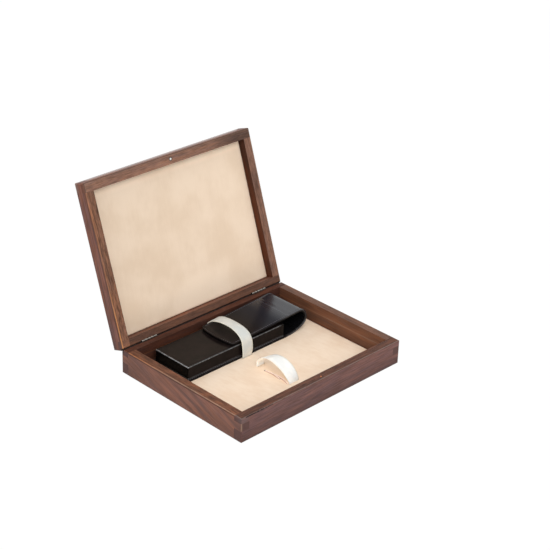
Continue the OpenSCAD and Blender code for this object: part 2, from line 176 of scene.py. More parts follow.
Operand = Union[Wire, float]


class Graph:
    """A node tree that is being filled in."""

    def __init__(self, tree: bpy.types.NodeTree) -> None:
        """Empty the tree of a material or a world."""
        self.tree = tree
        tree.nodes.clear()

    def node(
        self,
        kind: str,
        settings: Optional[Dict[str, object]] = None,
        inputs: Optional[Dict[Union[str, int], object]] = None,
        output: Union[str, int] = 0,
    ) -> Wire:
        """Add one node.

        Args:
            kind: The node's type.
            settings: What is set on the node before its sockets, such as an operation.
            inputs: The value or the wire of each named socket.
            output: The output that is wanted.

        Returns:
            That output.
        """
        made = self.tree.nodes.new(kind)
        for name, value in (settings or {}).items():
            setattr(made, name, value)
        for name, value in (inputs or {}).items():
            if isinstance(value, Wire):
                self.tree.links.new(value.socket, made.inputs[name])
            else:
                made.inputs[name].default_value = value
        return Wire(self, made.outputs[output] if made.outputs else None)

    def math(self, operation: str, *values: Operand) -> Wire:
        """Add a Math node on one or two values."""
        return self.node("ShaderNodeMath", {"operation": operation}, dict(enumerate(values)))

    def larger(self, first: Wire, second: Wire) -> Wire:
        """Take the larger of two values."""
        return self.math("MAXIMUM", first, second)

    def distance(self, first: object, second: object) -> Wire:
        """Distance between two places."""
        settings = {"operation": "DISTANCE"}
        return self.node("ShaderNodeVectorMath", settings, {0: first, 1: second}, "Value")

    def scaled(self, vector: Wire, scale: float) -> Wire:
        """Multiply a vector by a number."""
        inputs = {"Vector": vector, "Scale": scale}
        return self.node("ShaderNodeVectorMath", {"operation": "SCALE"}, inputs)

    def joined(self, x: Operand, y: Operand, z: Operand) -> Wire:
        """Make a vector out of three values."""
        return self.node("ShaderNodeCombineXYZ", inputs={"X": x, "Y": y, "Z": z})

    def split(self, vector: Wire) -> Tuple[Wire, Wire, Wire]:
        """Take a vector apart."""
        x = self.node("ShaderNodeSeparateXYZ", inputs={"Vector": vector})
        return x, x.output("Y"), x.output("Z")

    def noise(self, vector: Wire, detail: float = 2.0, rough: float = 0.5) -> Wire:
        """Add soft noise, about one cell to each unit of the vector."""
        inputs = {"Vector": vector, "Scale": 1.0, "Detail": detail, "Roughness": rough}
        return self.node("ShaderNodeTexNoise", inputs=inputs)

    def cells(self, place: Wire, per_mm: float, detail: float = 2.0, rough: float = 0.5) -> Wire:
        """Add soft noise, the same in all directions, with so many cells to a millimetre."""
        return self.noise(self.scaled(place, per_mm), detail, rough)

    def ramp(self, value: Wire, start: float, end: float) -> Wire:
        """Ease a value from 0 at start to 1 at end."""
        inputs = {"Value": value, "From Min": start, "From Max": end}
        return self.node("ShaderNodeMapRange", {"interpolation_type": "SMOOTHSTEP"}, inputs)

    def mix(self, share: Operand, first: object, second: object, kind: str = "MIX") -> Wire:
        """Mix two colours.

        Args:
            share: Share of the second colour.
            first: The first colour or its wire.
            second: The second colour or its wire.
            kind: How the two are mixed.

        Returns:
            The mixed colour.
        """
        settings = {"data_type": "RGBA", "blend_type": kind}
        return self.node("ShaderNodeMix", settings, {0: share, 6: first, 7: second}, 2)

    def tinted(self, paint: object, tint: object) -> Wire:
        """Multiply a colour by another."""
        return self.mix(1.0, paint, tint, "MULTIPLY")

    def shaded(self, tone: Wire, paint: object) -> Wire:
        """Multiply a colour by a plain value."""
        return self.tinted(paint, self.joined(tone, tone, tone))

    def bump(self, height: Wire, strength: float, depth: float) -> Wire:
        """Turn heights into a bumped normal, depth in millimetres."""
        inputs = {"Height": height, "Strength": strength, "Distance": depth * MM}
        return self.node("ShaderNodeBump", inputs=inputs)

    def surface(self, **inputs: object) -> None:
        """Finish a material with one Principled shader.

        Args:
            inputs: The shader's sockets, with underscores for spaces.
        """
        named = {name.replace("_", " "): value for name, value in inputs.items()}
        shader = self.node("ShaderNodeBsdfPrincipled", inputs=named)
        self.node("ShaderNodeOutputMaterial", inputs={"Surface": shader})


class Half(Enum):
    """Which of the two trays a finish lies on."""

    BASE = "base"
    LID = "lid"


class Grain(Enum):
    """Which way the wood's fibres run."""

    LENGTHWISE = "along the hinge line"
    FRONT_TO_BACK = "across the hinge line"


@dataclass(frozen=True)
class Case:
    """Sizes that the trays share, in millimetres."""

    width: float = 220.0
    depth: float = 172.0
    wall: float = 10.0
    base_rim: float = 26.6
    lid_rim: float = 27.0
    shut_height: float = 42.4
    pin_y: float = 84.0
    pin_z: float = 26.8
    lid_open: float = 109.0
    bevel_y: float = 83.0


CASE = Case()


def new_material(name: str) -> Tuple[Material, Graph]:
    """Make an empty material.

    Args:
        name: The finish's name.

    Returns:
        The material and its graph.
    """
    material = bpy.data.materials.new(name)
    material.use_nodes = True
    return material, Graph(material.node_tree)


def shut(graph: Graph, vector: Wire, half: Half, centre: Point) -> Wire:
    """Turn a vector of the open lid as if the lid were shut.

    Args:
        graph: The graph to add to.
        vector: The place or the direction on the open case.
        half: The tray that it belongs to. The base's stay as they are.
        centre: The point that it turns about.

    Returns:
        The vector on the shut case.
    """
    if half is Half.BASE:
        return vector
    turn = {"Vector": vector, "Center": centre, "Angle": math.radians(CASE.lid_open)}
    return graph.node("ShaderNodeVectorRotate", {"rotation_type": "X_AXIS"}, turn)


def places(graph: Graph, half: Half = Half.BASE) -> Wire:
    """Places on the shut case, in millimetres, the same at every pose.

    Args:
        graph: The graph to add to.
        half: The tray that the finish lies on.

    Returns:
        The place as a vector.
    """
    place = graph.scaled(graph.node("ShaderNodeTexCoord", output="Object"), 1 / MM)
    return shut(graph, place, half, (0.0, CASE.pin_y, CASE.pin_z))


def facing(graph: Graph, half: Half = Half.BASE) -> Wire:
    """The way that a face looks on the shut case, the same at every pose.

    Args:
        graph: The graph to add to.
        half: The tray that the finish lies on.

    Returns:
        The direction as a vector.
    """
    way = graph.node("ShaderNodeTexCoord", output="Normal")
    return shut(graph, way, half, (0.0, 0.0, 0.0))


# ---- Finishes ----


@dataclass(frozen=True)
class Finish:
    """A finish that is painted by its own node graph."""

    name: str

    def paint(self, graph: Graph) -> None:
        """Fill in the graph, each kind of finish in its own way."""
        raise NotImplementedError

    def material(self) -> Material:
        """Build the finish as a new material.

        Returns:
            The material.
        """
        material, graph = new_material(self.name)
        self.paint(graph)
        return material


class Figure(NamedTuple):
    """Noise drawn out along the wood's fibres.

    It has so many millimetres to a cell along them and cells to a millimetre across them.
    The axis is the one on which it is shifted from board to board.
    """

    length: float
    fine: float
    detail: float = 2.0
    rough: float = 0.5
    axis: int = 0


FIBRE = Figure(14, 1.7, 3.0, 0.6)
PORES = Figure(2.6, 4.6, 1.0)
STREAKS = Figure(24, 1 / 1.3, 3.0, 0.65)
RIM_FINE = Figure(10, 1 / 0.9, 3.0, 0.7)
RIM_BROAD = Figure(45, 1 / 3, 2.0)
HUES = Figure(26, 1 / 3, 2.0, 0.6, 1)
RING_BROAD = Figure(55, 1 / 9, 3.0)
RING_WARP = Figure(38, 1 / 16, 1.0, 0.5, 1)
RING_FADE = Figure(30, 1 / 20, 1.0, 0.5, 2)

BOARD_SHIFT = 37.0
END_SPECKS = 1.4
LEVEL_FACES = (0.55, 0.85)
END_FACES = (0.6, 0.85)
FOOT = (20.0, 0.0)
REAR_WEAR = (0.0, 70.0)
CORNER_HIGHLIGHT_HEIGHTS = (10.0, 16.0)
POLISHED_HEIGHTS = (32.5, 34.5)
POLISHED_SLOPES = (0.95, 0.7)
LEFT_BOARD_END = (-99.8, -100.1)
HIGHLIGHTED_UPRIGHT_EDGE = (-109.4, -85.4, 0.0)
BRUISE = (-107.0, -86.0)
CHIPS_FROM = (-40.0, -92.0)
CHIPS_TO = (-106.5, -103.0)

COLD_WOOD = colour(222, 238, 255)
COOL_TINT = (0.88, 0.98, 1.14, 1.0)
WARM_TINT = (1.12, 1.02, 0.86, 1.0)
PAINTED_SHADE_LINE = colour(56, 38, 34)
BRUISED = colour(112, 102, 102)
CHIPPED = colour(38, 27, 27)
PAINTED_HINGE_GAP_SHADOW = colour(40, 24, 18)
BASE_COAT = 0.06
TREE_HEART = 34.0


@dataclass(frozen=True)
class Walnut(Finish):
    """Stained walnut under a thin satin varnish.

    Attributes:
        cut: Stain of the end grain.
        slant: Tilt of the fibres, in degrees.
        depth, cool, hue: How much the rings darken, cool and vary the stain.
        calm: Where along the board the rings fade out, or 0.
        fade: Where along the board it darkens, from, to and how much.
        foot: How much darker its foot is.
        corner: Stain of the rim's left end, where the next board seems to run on.
        worn, wear, wear_reach: Bare wood at the rim's edge, how strong and how wide.
        line, line_out: Strength of the painted shade line beside it, and where it lies down the
            outer face.
        ridge, chipped: Strength of the painted highlight on the front corner, and how chipped the
            rim beside it.
        polished: Extra varnish on the outer side of the shut lid's top edge.
    """

    face: Colour
    rim: Colour
    grain: Grain = Grain.LENGTHWISE
    half: Half = Half.BASE
    slant: float = 1.5
    ring: float = 7.0
    contrast: float = 0.35
    depth: float = 0.3
    cool: float = 0.5
    seed: float = 0.0
    worn: Colour = colour(190, 160, 136)
    worn_rear: Colour = colour(188, 120, 72)
    wear: float = 0.4
    wear_rear: float = 0.4
    wear_reach: float = 0.7
    line: float = 0.0
    line_out: Flat = (0.2, 1.3)
    chipped: float = 0.0
    foot: float = 0.0
    calm: float = 0.0
    ridge: float = 0.0
    cut: Colour = colour(102, 73, 68)
    fade: Tuple[float, float, float] = (0.0, 1.0, 0.0)
    fade_rim: bool = False
    corner: Optional[Colour] = None
    polished: float = 0.0
    fibres: float = 0.35
    rim_fibres: float = 0.75
    hue: float = 1.0

    def paint(self, graph: Graph) -> None:
        """Paint rings, fibres, pores, end grain and worn edges.

        Args:
            graph: The graph to fill in.
        """
        place = places(graph, self.half)
        x, y, z = graph.split(place)
        lengthwise = self.grain is Grain.LENGTHWISE
        along, side = (x, y) if lengthwise else (y, x)
        lean = math.radians(self.slant)
        run = along * math.cos(lean) + z * math.sin(lean)
        rise = z * math.cos(lean) - along * math.sin(lean)
        across, deep, level = graph.split(facing(graph, self.half))
        flat = graph.ramp(abs(level), *LEVEL_FACES)
        end = graph.ramp(abs(across if lengthwise else deep), *END_FACES)

        def drawn(figure: Figure) -> Wire:
            """Noise along this board's fibres."""
            return self._drawn(graph, figure, run, rise, side)

        tone = self._tone(graph, run, rise, side)
        fibre = drawn(FIBRE)
        pore = graph.ramp(drawn(PORES), 0.6, 0.72)
        streak = graph.ramp(drawn(STREAKS), 0.3, 0.7)
        fine, broad = (
            self._drawn(graph, figure, along, z, side) for figure in (RIM_FINE, RIM_BROAD)
        )
        rim_tone = graph.ramp(fine * 0.7 + broad * 0.3, 0.34, 0.66)

        paint = graph.mix(flat, self.face, self.rim)
        paint = graph.mix((1 - tone) * self.cool, paint, graph.tinted(paint, COLD_WOOD))
        if self.foot:
            paint = graph.shaded(1 - graph.ramp(z, *FOOT) * self.foot, paint)
        start, stop, amount = self.fade
        if amount:
            shown = flat if self.fade_rim else 1 - flat
            paint = graph.shaded(1 - graph.ramp(along, start, stop) * shown * amount, paint)
        if self.corner:
            paint = graph.mix(graph.ramp(x, *LEFT_BOARD_END) * flat, paint, self.corner)
        paint = graph.shaded(1 + (tone - 0.5) * self.depth, paint)
        face_tone = (streak - 0.5) * self.fibres
        strand = face_tone + ((rim_tone - 0.5) * self.rim_fibres - face_tone) * flat
        paint = graph.shaded(1 + strand + fibre * 0.2 - pore * 0.2, paint)
        hue = 0.5 + (drawn(HUES) - 0.5) * ((2.6 - flat * 1.5) * self.hue)
        tint = graph.mix(graph.ramp(hue, 0.0, 1.0), COOL_TINT, WARM_TINT)
        paint = graph.tinted(paint, tint)
        lengths = along * END_SPECKS + self.seed * BOARD_SHIFT
        speck = graph.noise(graph.joined(side * END_SPECKS, z * END_SPECKS, lengths))
        stain = 0.7 + speck * 0.3 + graph.cells(place, 1 / 5) * 0.3
        paint = graph.mix(end, paint, graph.shaded(stain, self.cut))
        paint = self._edges(graph, paint, place, flat)
        coat: Operand = BASE_COAT
        if self.polished:
            slope = graph.ramp(z, *POLISHED_HEIGHTS) * graph.ramp(level, *POLISHED_SLOPES)
            coat = BASE_COAT + slope * self.polished
        graph.surface(
            Base_Color=paint,
            Roughness=0.5 + fibre * 0.12,
            Specular_IOR_Level=0.16,
            Coat_Weight=coat,
            Coat_Roughness=0.25,
            Normal=graph.bump(fibre * 0.6 - pore * 0.9, 0.35, 0.06),
        )

    def _drawn(self, graph: Graph, figure: Figure, along: Wire, up: Wire, side: Wire) -> Wire:
        """Noise that is drawn out along the fibres.

        Args:
            graph: The graph to add to.
            figure: What noise it is.
            along: Place along the fibres.
            up: Place across them, upwards.
            side: Place across them, sideways.

        Returns:
            The noise, from 0 to 1.
        """
        spot = [along / figure.length, up * figure.fine, side * figure.fine]
        spot[figure.axis] = spot[figure.axis] + self.seed * BOARD_SHIFT
        return graph.noise(graph.joined(*spot), figure.detail, figure.rough)

    def _tone(self, graph: Graph, run: Wire, rise: Wire, side: Wire) -> Wire:
        """Growth rings and broad clouds.

        Args:
            graph: The graph to add to.
            run: Place along the fibres.
            rise: Place across them, upwards.
            side: Place across them, sideways.

        Returns:
            The tone, from 0 for dark wood to 1 for light wood.
        """
        broad, warp, fade = (
            self._drawn(graph, figure, run, rise, side)
            for figure in (RING_BROAD, RING_WARP, RING_FADE)
        )
        bent = rise + (warp - 0.5) * 14
        reach = ((bent + TREE_HEART) ** 2 + (side / 1.5 + TREE_HEART) ** 2) ** 0.5
        rings = graph.math("SINE", reach * (2 * math.pi / self.ring)) * graph.ramp(fade, 0.3, 0.6)
        if self.calm:
            rings = rings * (0.2 + graph.ramp(run, self.calm - 30, self.calm + 10) * 0.8)
        tone = 0.5 + rings * (self.contrast / 2) + (broad - 0.5) * (2.2 - self.contrast)
        return graph.ramp(tone, 0.0, 1.0)

    def _edges(self, graph: Graph, paint: Wire, place: Wire, flat: Wire) -> Wire:
        """Wear the rim's outer edge; paint a highlight on the front corner, a shade line and
        shadow in the hinge bevels.

        Args:
            graph: The graph to add to.
            paint: The wood's colour.
            place: The place on the shut case.
            flat: One on level faces.

        Returns:
            The colour with its edges.
        """
        x, y, z = graph.split(place)
        rim = CASE.base_rim if self.half is Half.BASE else CASE.lid_rim
        outer = graph.math("MINIMUM", CASE.width / 2 - abs(x), CASE.depth / 2 - abs(y))
        turn = outer - abs(z - rim)
        patch = graph.cells(place, 1 / 9, 3.0, 0.6)
        fray = graph.cells(place, 1.3)
        # Painted highlight on the front corner's rounded upright edge, in the worn colour.
        if self.ridge:
            away = graph.distance(graph.joined(x, y, 0.0), HIGHLIGHTED_UPRIGHT_EDGE)
            share = graph.ramp(away, 0.9, 0.4) * graph.ramp(z, *CORNER_HIGHLIGHT_HEIGHTS) * self.ridge
            paint = graph.mix(share, paint, self.worn)
        # Painted shade: a dark line along the rim's rounded edge, beside the worn wood.
        if self.line:
            near, far = self.line_out
            off = abs(turn + (near + far) / 2)
            dark = graph.ramp(off, (far - near) / 2 + 0.25, (far - near) / 2 - 0.15)
            paint = graph.mix(dark * (0.6 + patch * 0.6) * self.line, paint, PAINTED_SHADE_LINE)
        reach = self.wear_reach * (0.2 + patch * 1.3) + (fray - 0.5) * 1.1
        rear = graph.ramp(y, *REAR_WEAR)
        amount = self.wear + rear * (self.wear_rear - self.wear)
        if self.corner:
            amount = amount + graph.ramp(x, *LEFT_BOARD_END) * 0.7
        bare = graph.mix(rear, self.worn, self.worn_rear)
        worn = graph.ramp(reach - abs(turn - 0.9), -0.35, 0.35)
        paint = graph.mix(worn * amount, paint, bare)
        if self.chipped:
            spot = graph.noise(graph.joined(x * 0.3, y * 0.9, z * 0.9), 4.0, 0.7)
            bruise = graph.ramp(graph.distance(place, (*BRUISE, rim)), 9.0, 3.0) * (1 - flat)
            paint = graph.mix(bruise * (fray * 1.1 - 0.1), paint, BRUISED)
            near = graph.ramp(x, *CHIPS_FROM) * graph.ramp(x, *CHIPS_TO)
            close = graph.ramp(abs(turn - 0.3), 1.1, 0.5)
            chip = graph.ramp(spot + near * 0.24, 0.6, 0.66) * close * near * self.chipped
            paint = graph.mix(chip, paint, CHIPPED)
        # Painted shadow in the bevels along the hinge line, where the gap between the trays lies
        # in shade.
        bevel = graph.ramp(y, CASE.bevel_y - 0.3, CASE.bevel_y + 0.3)
        bevel = bevel * graph.ramp(abs(z - CASE.pin_z), 3.6, 3.2)
        return graph.mix(bevel * 0.85, paint, PAINTED_HINGE_GAP_SHADOW)


NEEDLE_HOLE_SHADE = colour(62, 42, 34)
PAINTED_THREAD_SHADE = colour(190, 140, 116)
PAINTED_LIGHT_SPAN = (-64.0, -75.5)
PAINTED_SHADE_SPAN = (46.0, 75.0)


@dataclass(frozen=True)
class Nap(Finish):
    """Fine napped fabric with the marks of a hand brushed over it."""

    face: Colour
    shade: Colour
    half: Half
    brushed: float = 0.4
    cloud: float = 24.0
    holes: Sequence[Point] = ()
    thread_shade_lines: Sequence[Tuple[Flat, Flat]] = ()
    lean: float = 0.0
    painted_light_front: float = 0.0
    painted_shade_rear: float = 0.0

    def paint(self, graph: Graph) -> None:
        """Paint it mottled and faintly streaked, with painted shade by the thread and in the
        needle holes, and painted light and shade gradients.

        Args:
            graph: The graph to fill in.
        """
        place = places(graph, self.half)
        x, y, z = graph.split(place)
        clouds = graph.cells(place, 1 / self.cloud, 3.0, 0.55)
        marks = graph.noise(graph.joined(x / 5 + y / 30, y / 15, z), 3.0, 0.6)
        streaks = graph.noise(graph.joined(x / 1.6, y / 26, z))
        pile = graph.cells(place, 2.6, 3.0, 0.7)
        tone = clouds * (0.9 - self.brushed) + marks * self.brushed + streaks * 0.1
        paint = graph.mix(graph.ramp(tone, 0.34, 0.64), self.shade, self.face)
        paint = graph.shaded(0.955 + pile * 0.09, paint)
        # Painted shade in the needle holes where the thread goes in.
        for hole in self.holes:
            share = graph.ramp(graph.distance(place, hole), 1.2, 0.6)
            paint = graph.mix(share, paint, NEEDLE_HOLE_SHADE)
        # Painted shade: a dark line beside each length of the sewn thread.
        for (x0, y0), (x1, y1) in self.thread_shade_lines:
            span = math.dist((x0, y0), (x1, y1))
            ahead, aside = (x1 - x0) / span, (y1 - y0) / span
            down = (x - x0) * ahead + (y - y0) * aside
            over = abs((y - y0) * ahead - (x - x0) * aside)
            inside = graph.ramp(down, -0.3, 0.6) * graph.ramp(down, span + 0.3, span - 0.6)
            share = graph.ramp(over, 0.75, 0.25) * inside * 0.75
            paint = graph.mix(share, paint, PAINTED_THREAD_SHADE)
        # Painted light and shade: lighter towards the right, darker towards the left.
        paint = graph.shaded(1 + x * self.lean, paint)
        # Painted light near the front wall, and painted shade towards the hinge.
        if self.painted_light_front:
            paint = graph.shaded(1 + graph.ramp(y, *PAINTED_LIGHT_SPAN) * self.painted_light_front, paint)
        if self.painted_shade_rear:
            paint = graph.shaded(1 - graph.ramp(y, *PAINTED_SHADE_SPAN) * self.painted_shade_rear, paint)
        graph.surface(
            Base_Color=paint,
            Roughness=0.9,
            Specular_IOR_Level=0.15,
            Sheen_Weight=0.12,
            Sheen_Roughness=0.5,
            Normal=graph.bump(pile * 0.7 + marks * 0.6, 0.25, 0.18),
        )


@dataclass(frozen=True)
class Satin(Finish):
    """Ivory satin ribbon with woven edges."""

    face: Colour
    selvedge: Colour
    # Colour of the painted glow that stands in for light through the satin.
    through: Colour
    glow_from: float = 1000.0
    middle: float = -2.5
    half_width: float = 6.25

    def paint(self, graph: Graph) -> None:
        """Paint threads along the ribbon, and a painted glow on the faces that look down, standing
        in for light through the satin.

        Args:
            graph: The graph to fill in.
        """
        x, y, z = graph.split(places(graph))
        thread = graph.noise(graph.joined(x * 5, y / 4, z / 4), 2.0, 0.6)
        rib = graph.noise(graph.joined(x / 4, y * 2.4, z * 2.4), 1.0)
        edge = graph.ramp(abs(x - self.middle), self.half_width - 1.1, self.half_width - 0.7)
        paint = graph.mix(edge, self.face, self.selvedge)
        paint = graph.shaded(0.94 + thread * 0.08 + rib * 0.04, paint)
        sheen = graph.ramp(graph.noise(graph.joined(x / 7, y / 11, z / 9)), 0.38, 0.62)
        cool = graph.tinted(paint, colour(246, 249, 252))
        paint = graph.mix(sheen, cool, graph.shaded(1 + sheen * 0.04, paint))
        # Painted glow on faces that look down and on the ribbon's rear part, in place of light
        # through it.
        level = graph.split(facing(graph))[2]
        thin = graph.ramp(y, self.glow_from, self.glow_from + 6) * 0.45
        painted_glow = graph.larger(graph.ramp(level, -0.05, -0.45), thin)
        graph.surface(
            Base_Color=paint,
            Roughness=0.3 + thread * 0.12,
            Specular_IOR_Level=0.45,
            Emission_Color=graph.mix(painted_glow, (0.0, 0.0, 0.0, 1.0), self.through),
            Emission_Strength=0.45,
            Normal=graph.bump(thread * 0.7 + rib * 0.5 - edge * 0.5, 0.3, 0.08),
        )


SLEEVE_END = (-79.6, -78.6)
SLEEVE_END_PAINTED_SHADE = (-79.4, -78.6)
SLEEVE_END_HIGHLIGHT = (-77.9, -78.5)
SLEEVE_EDGE = ((19.0, 20.6), (22.4, 22.1))
SLEEVE_EDGE_END = (50.0, 46.0)
FLANGE_Z = 9.4
FLAP_FROM = (22.2, 22.9)
FOLD_FROM = (53.0, 57.0)
FOLD_GLOSS = (40.0, 64.0)
PAINTED_SHEEN_FROM = (5.0, 50.0)
FOLD_CREASE_X = 59.3
FOLD_CREASE_FROM = (28.5, 29.5)
CREASED = colour(86, 88, 96)
PAINTED_EDGE_HIGHLIGHT = colour(128, 130, 132)


@dataclass(frozen=True)
class Leather(Finish):
    """Black leather, glazed outside or plain as a lining."""

    face: Colour
    shade: Colour
    rough: float
    grain_depth: float
    gloss: float = 0.0
    # Colour of the painted bluish sheen on the outside towards the fold.
    far: Colour = colour(24, 25, 33)

    def paint(self, graph: Graph) -> None:
        """Paint a fine pebbled grain, a crease over the fold, a painted highlight on the sleeve's
        left top edge, painted shade on its left end and a painted bluish sheen towards the fold.

        Args:
            graph: The graph to fill in.
        """
        place = places(graph)
        cells = graph.node(
            "ShaderNodeTexVoronoi",
            {"feature": "SMOOTH_F1"},
            {"Vector": graph.scaled(place, 1.5), "Scale": 1.0, "Smoothness": 0.5},
            "Distance",
        )
        fine = graph.cells(place, 2.8)
        soft = graph.cells(place, 1 / 11, 3.0, 0.6)
        rub = graph.ramp(graph.cells(place, 0.9), 0.4, 0.62)
        x, _, z = graph.split(place)
        level = graph.split(facing(graph))[2]
        outside = graph.larger(graph.ramp(z, *FLAP_FROM), graph.ramp(x, *FOLD_FROM))
        low, high = SLEEVE_EDGE
        edge = graph.ramp(level, 0.12, 0.3) * graph.ramp(level, 0.97, 0.88)
        edge = edge * graph.ramp(x, *SLEEVE_EDGE_END)
        edge = edge * graph.ramp(z, *low) * graph.ramp(z, *high)
        foot = graph.ramp(level, 0.1, 0.3) * graph.ramp(abs(z - FLANGE_Z), 0.6, 0.3) * 0.4

        polish = 0.03 + graph.ramp(level, 0.3, 0.9) * 0.06
        polish = polish + graph.ramp(x, *FOLD_GLOSS) * 0.42 * outside
        polish = polish * graph.ramp(x, *SLEEVE_END)
        polish = graph.larger(polish, graph.larger(edge, foot) * (0.45 + rub * 0.55))

        paint = graph.mix(graph.ramp(soft, 0.3, 0.7), self.shade, self.face)
        # Painted sheen: the outside turns bluish towards the fold.
        paint = graph.mix(graph.ramp(x, *PAINTED_SHEEN_FROM) * outside, paint, self.far)
        # Painted shade on the sleeve's left end.
        end = 0.2 + graph.ramp(x, *SLEEVE_END_PAINTED_SHADE) * 0.8
        paint = graph.shaded((0.9 + fine * 0.2) * end, paint)
        crease = graph.ramp(abs(x - FOLD_CREASE_X + (soft - 0.5) * 2), 0.7, 0.2)
        crease = crease * graph.ramp(z, *FOLD_CREASE_FROM)
        paint = graph.mix(crease * (0.3 + rub * 0.5), paint, CREASED)
        # Painted highlight along the sleeve's left top edge, patchy by the rub noise.
        bright = edge * graph.ramp(x, *SLEEVE_END_HIGHLIGHT) * (0.4 + rub * 0.6)
        paint = graph.mix(bright, paint, PAINTED_EDGE_HIGHLIGHT)
        graph.surface(
            Base_Color=paint,
            Roughness=self.rough + (soft - 0.5) * 0.12 + fine * 0.05,
            Specular_IOR_Level=0.03,
            Coat_Weight=polish * self.gloss,
            Coat_Roughness=0.16,
            Coat_IOR=2.3,
            Normal=graph.bump(cells * 0.5 + fine * 0.3 + soft * 2.5, 0.3, self.grain_depth),
        )


@dataclass(frozen=True)
class Metal(Finish):
    """Plated metal with a fine brushed surface."""

    bright: Colour
    dull: Colour
    rough: float = 0.24
    underside_shade: float = 0.0

    def paint(self, graph: Graph) -> None:
        """Paint it slightly stained and brushed, with painted shade on faces that look down.

        Args:
            graph: The graph to fill in.
        """
        place = places(graph)
        x, y, z = graph.split(place)
        brush = graph.noise(graph.joined(x / 3, y * 7, z * 7))
        stain = graph.cells(place, 0.8)
        paint = graph.mix(graph.ramp(stain, 0.35, 0.7), self.bright, self.dull)
        # Painted shade: faces that look down turn dark, so that only the tops of the knuckles
        # shine.
        if self.underside_shade:
            level = graph.split(facing(graph))[2]
            dark = graph.ramp(level, 0.96, 0.76) * self.underside_shade
            paint = graph.mix(dark, paint, colour(62, 48, 40))
        graph.surface(
            Base_Color=paint,
            Metallic=1.0,
            Roughness=self.rough + brush * 0.14,
            Normal=graph.bump(brush, 0.15, 0.02),
        )


@dataclass(frozen=True)
class StainedDisc(Finish):
    """A catch magnet's face that took the wood's stain, with a bare middle."""

    ring: Colour
    middle: Colour
    half: Half
    centre: Point
    bare: float

    def paint(self, graph: Graph) -> None:
        """Paint the ring and the bare metal.

        Args:
            graph: The graph to fill in.
        """
        place = places(graph, self.half)
        grit = graph.cells(place, 2.2)
        rub = graph.distance(place, self.centre) + (grit - 0.5) * 0.6
        ring = graph.ramp(rub, self.bare, self.bare + 0.4)
        graph.surface(
            Base_Color=graph.mix(ring, self.middle, self.ring),
            Metallic=0.6,
            Roughness=0.4 + grit * 0.2,
            Normal=graph.bump(grit, 0.2, 0.04),
        )


@dataclass(frozen=True)
class Plain(Finish):
    """A fibrous or spongy stuff under the lining, or spun thread."""

    light: Colour
    dark: Colour
    cell: float
    rough: float = 0.85

    def paint(self, graph: Graph) -> None:
        """Paint it lightly mottled.

        Args:
            graph: The graph to fill in.
        """
        speck = graph.cells(places(graph), 1 / self.cell, 3.0, 0.6)
        graph.surface(
            Base_Color=graph.mix(graph.ramp(speck, 0.35, 0.65), self.dark, self.light),
            Roughness=self.rough,
            Normal=graph.bump(speck, 0.3, self.cell / 6),
        )


# ---- Meshes ----


@dataclass
class Sheet:
    """Points and faces of one piece, in millimetres."""

    points: List[Point] = field(default_factory=list)
    faces: List[Face] = field(default_factory=list)

    def grid(self, rows: Sequence[Sequence[Point]], flip: bool = False) -> None:
        """Add a surface through rows of points.

        Args:
            rows: Rows of equal length.
            flip: Whether the faces look the other way.
        """
        start, width = len(self.points), len(rows[0])
        for row in rows:
            self.points.extend(row)
        for i in range(len(rows) - 1):
            for j in range(width - 1):
                corner = start + i * width + j
                ring = (corner, corner + width, corner + width + 1, corner + 1)
                self.faces.append(ring[::-1] if flip else ring)

    def closed(self, rings: Sequence[Sequence[Point]]) -> None:
        """Add a closed solid through rings of equal length, capped at both ends.

        Args:
            rings: Rings of points, each turning the same way.
        """
        start, count = len(self.points), len(rings[0])
        for ring in rings:
            self.points.extend(ring)
        for i in range(len(rings) - 1):
            for j in range(count):
                here, there = start + i * count + j, start + i * count + (j + 1) % count
                self.faces.append((here, there, there + count, here + count))
        last = start + (len(rings) - 1) * count
        self.faces.append(tuple(start + j for j in reversed(range(count))))
        self.faces.append(tuple(last + j for j in range(count)))

    def build(self, name: str, place: Optional[Matrix] = None) -> Piece:
        """Turn the points and faces into an object, in metres.

        Args:
            name: The piece's name.
            place: Where the drawing goes, in millimetres.

        Returns:
            The new object, shaded smooth.
        """
        move = place or Matrix.Identity(4)
        mesh = bpy.data.meshes.new(name)
        mesh.from_pydata([move @ Vector(point) * MM for point in self.points], [], self.faces)
        if move.determinant() < 0:
            mesh.flip_normals()
        clean = bmesh.new()
        clean.from_mesh(mesh)
        bmesh.ops.remove_doubles(clean, verts=clean.verts, dist=0.002 * MM)
        bmesh.ops.dissolve_degenerate(clean, edges=clean.edges, dist=0.002 * MM)
        for face in clean.faces:
            face.smooth = True
        clean.to_mesh(mesh)
        clean.free()
        piece = bpy.data.objects.new(name, mesh)
        bpy.context.scene.collection.objects.link(piece)
        return piece


def thicken(piece: Piece, thickness: float, offset: float = -1.0) -> None:
    """Give a sheet its thickness.

    Args:
        piece: The sheet.
        thickness: Its thickness in millimetres.
        offset: -1 to grow inwards, 0 both ways, 1 outwards.
    """
    solid = piece.modifiers.new("thickness", "SOLIDIFY")
    solid.thickness = thickness * MM
    solid.offset = offset
    solid.use_even_offset = True
    solid.use_quality_normals = True


def soften(piece: Piece, width: float) -> None:
    """Round a piece's sharp edges.

    Args:
        piece: The piece.
        width: Width of the rounding in millimetres.
    """
    edge = piece.modifiers.new("soft edge", "BEVEL")
    edge.width = width * MM
    edge.segments = 2
    edge.limit_method = "ANGLE"
    edge.angle_limit = math.radians(50)
    edge.harden_normals = False


def paint_piece(piece: Piece, material: Material) -> None:
    """Give a piece one material."""
    piece.data.materials.clear()
    piece.data.materials.append(material)


def paint_node(node: str, material: Material) -> None:
    """Give a part of the CAD model one material."""
    paint_piece(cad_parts[node], material)


UPRIGHT = Vector((0.0, 0.0, 1.0))


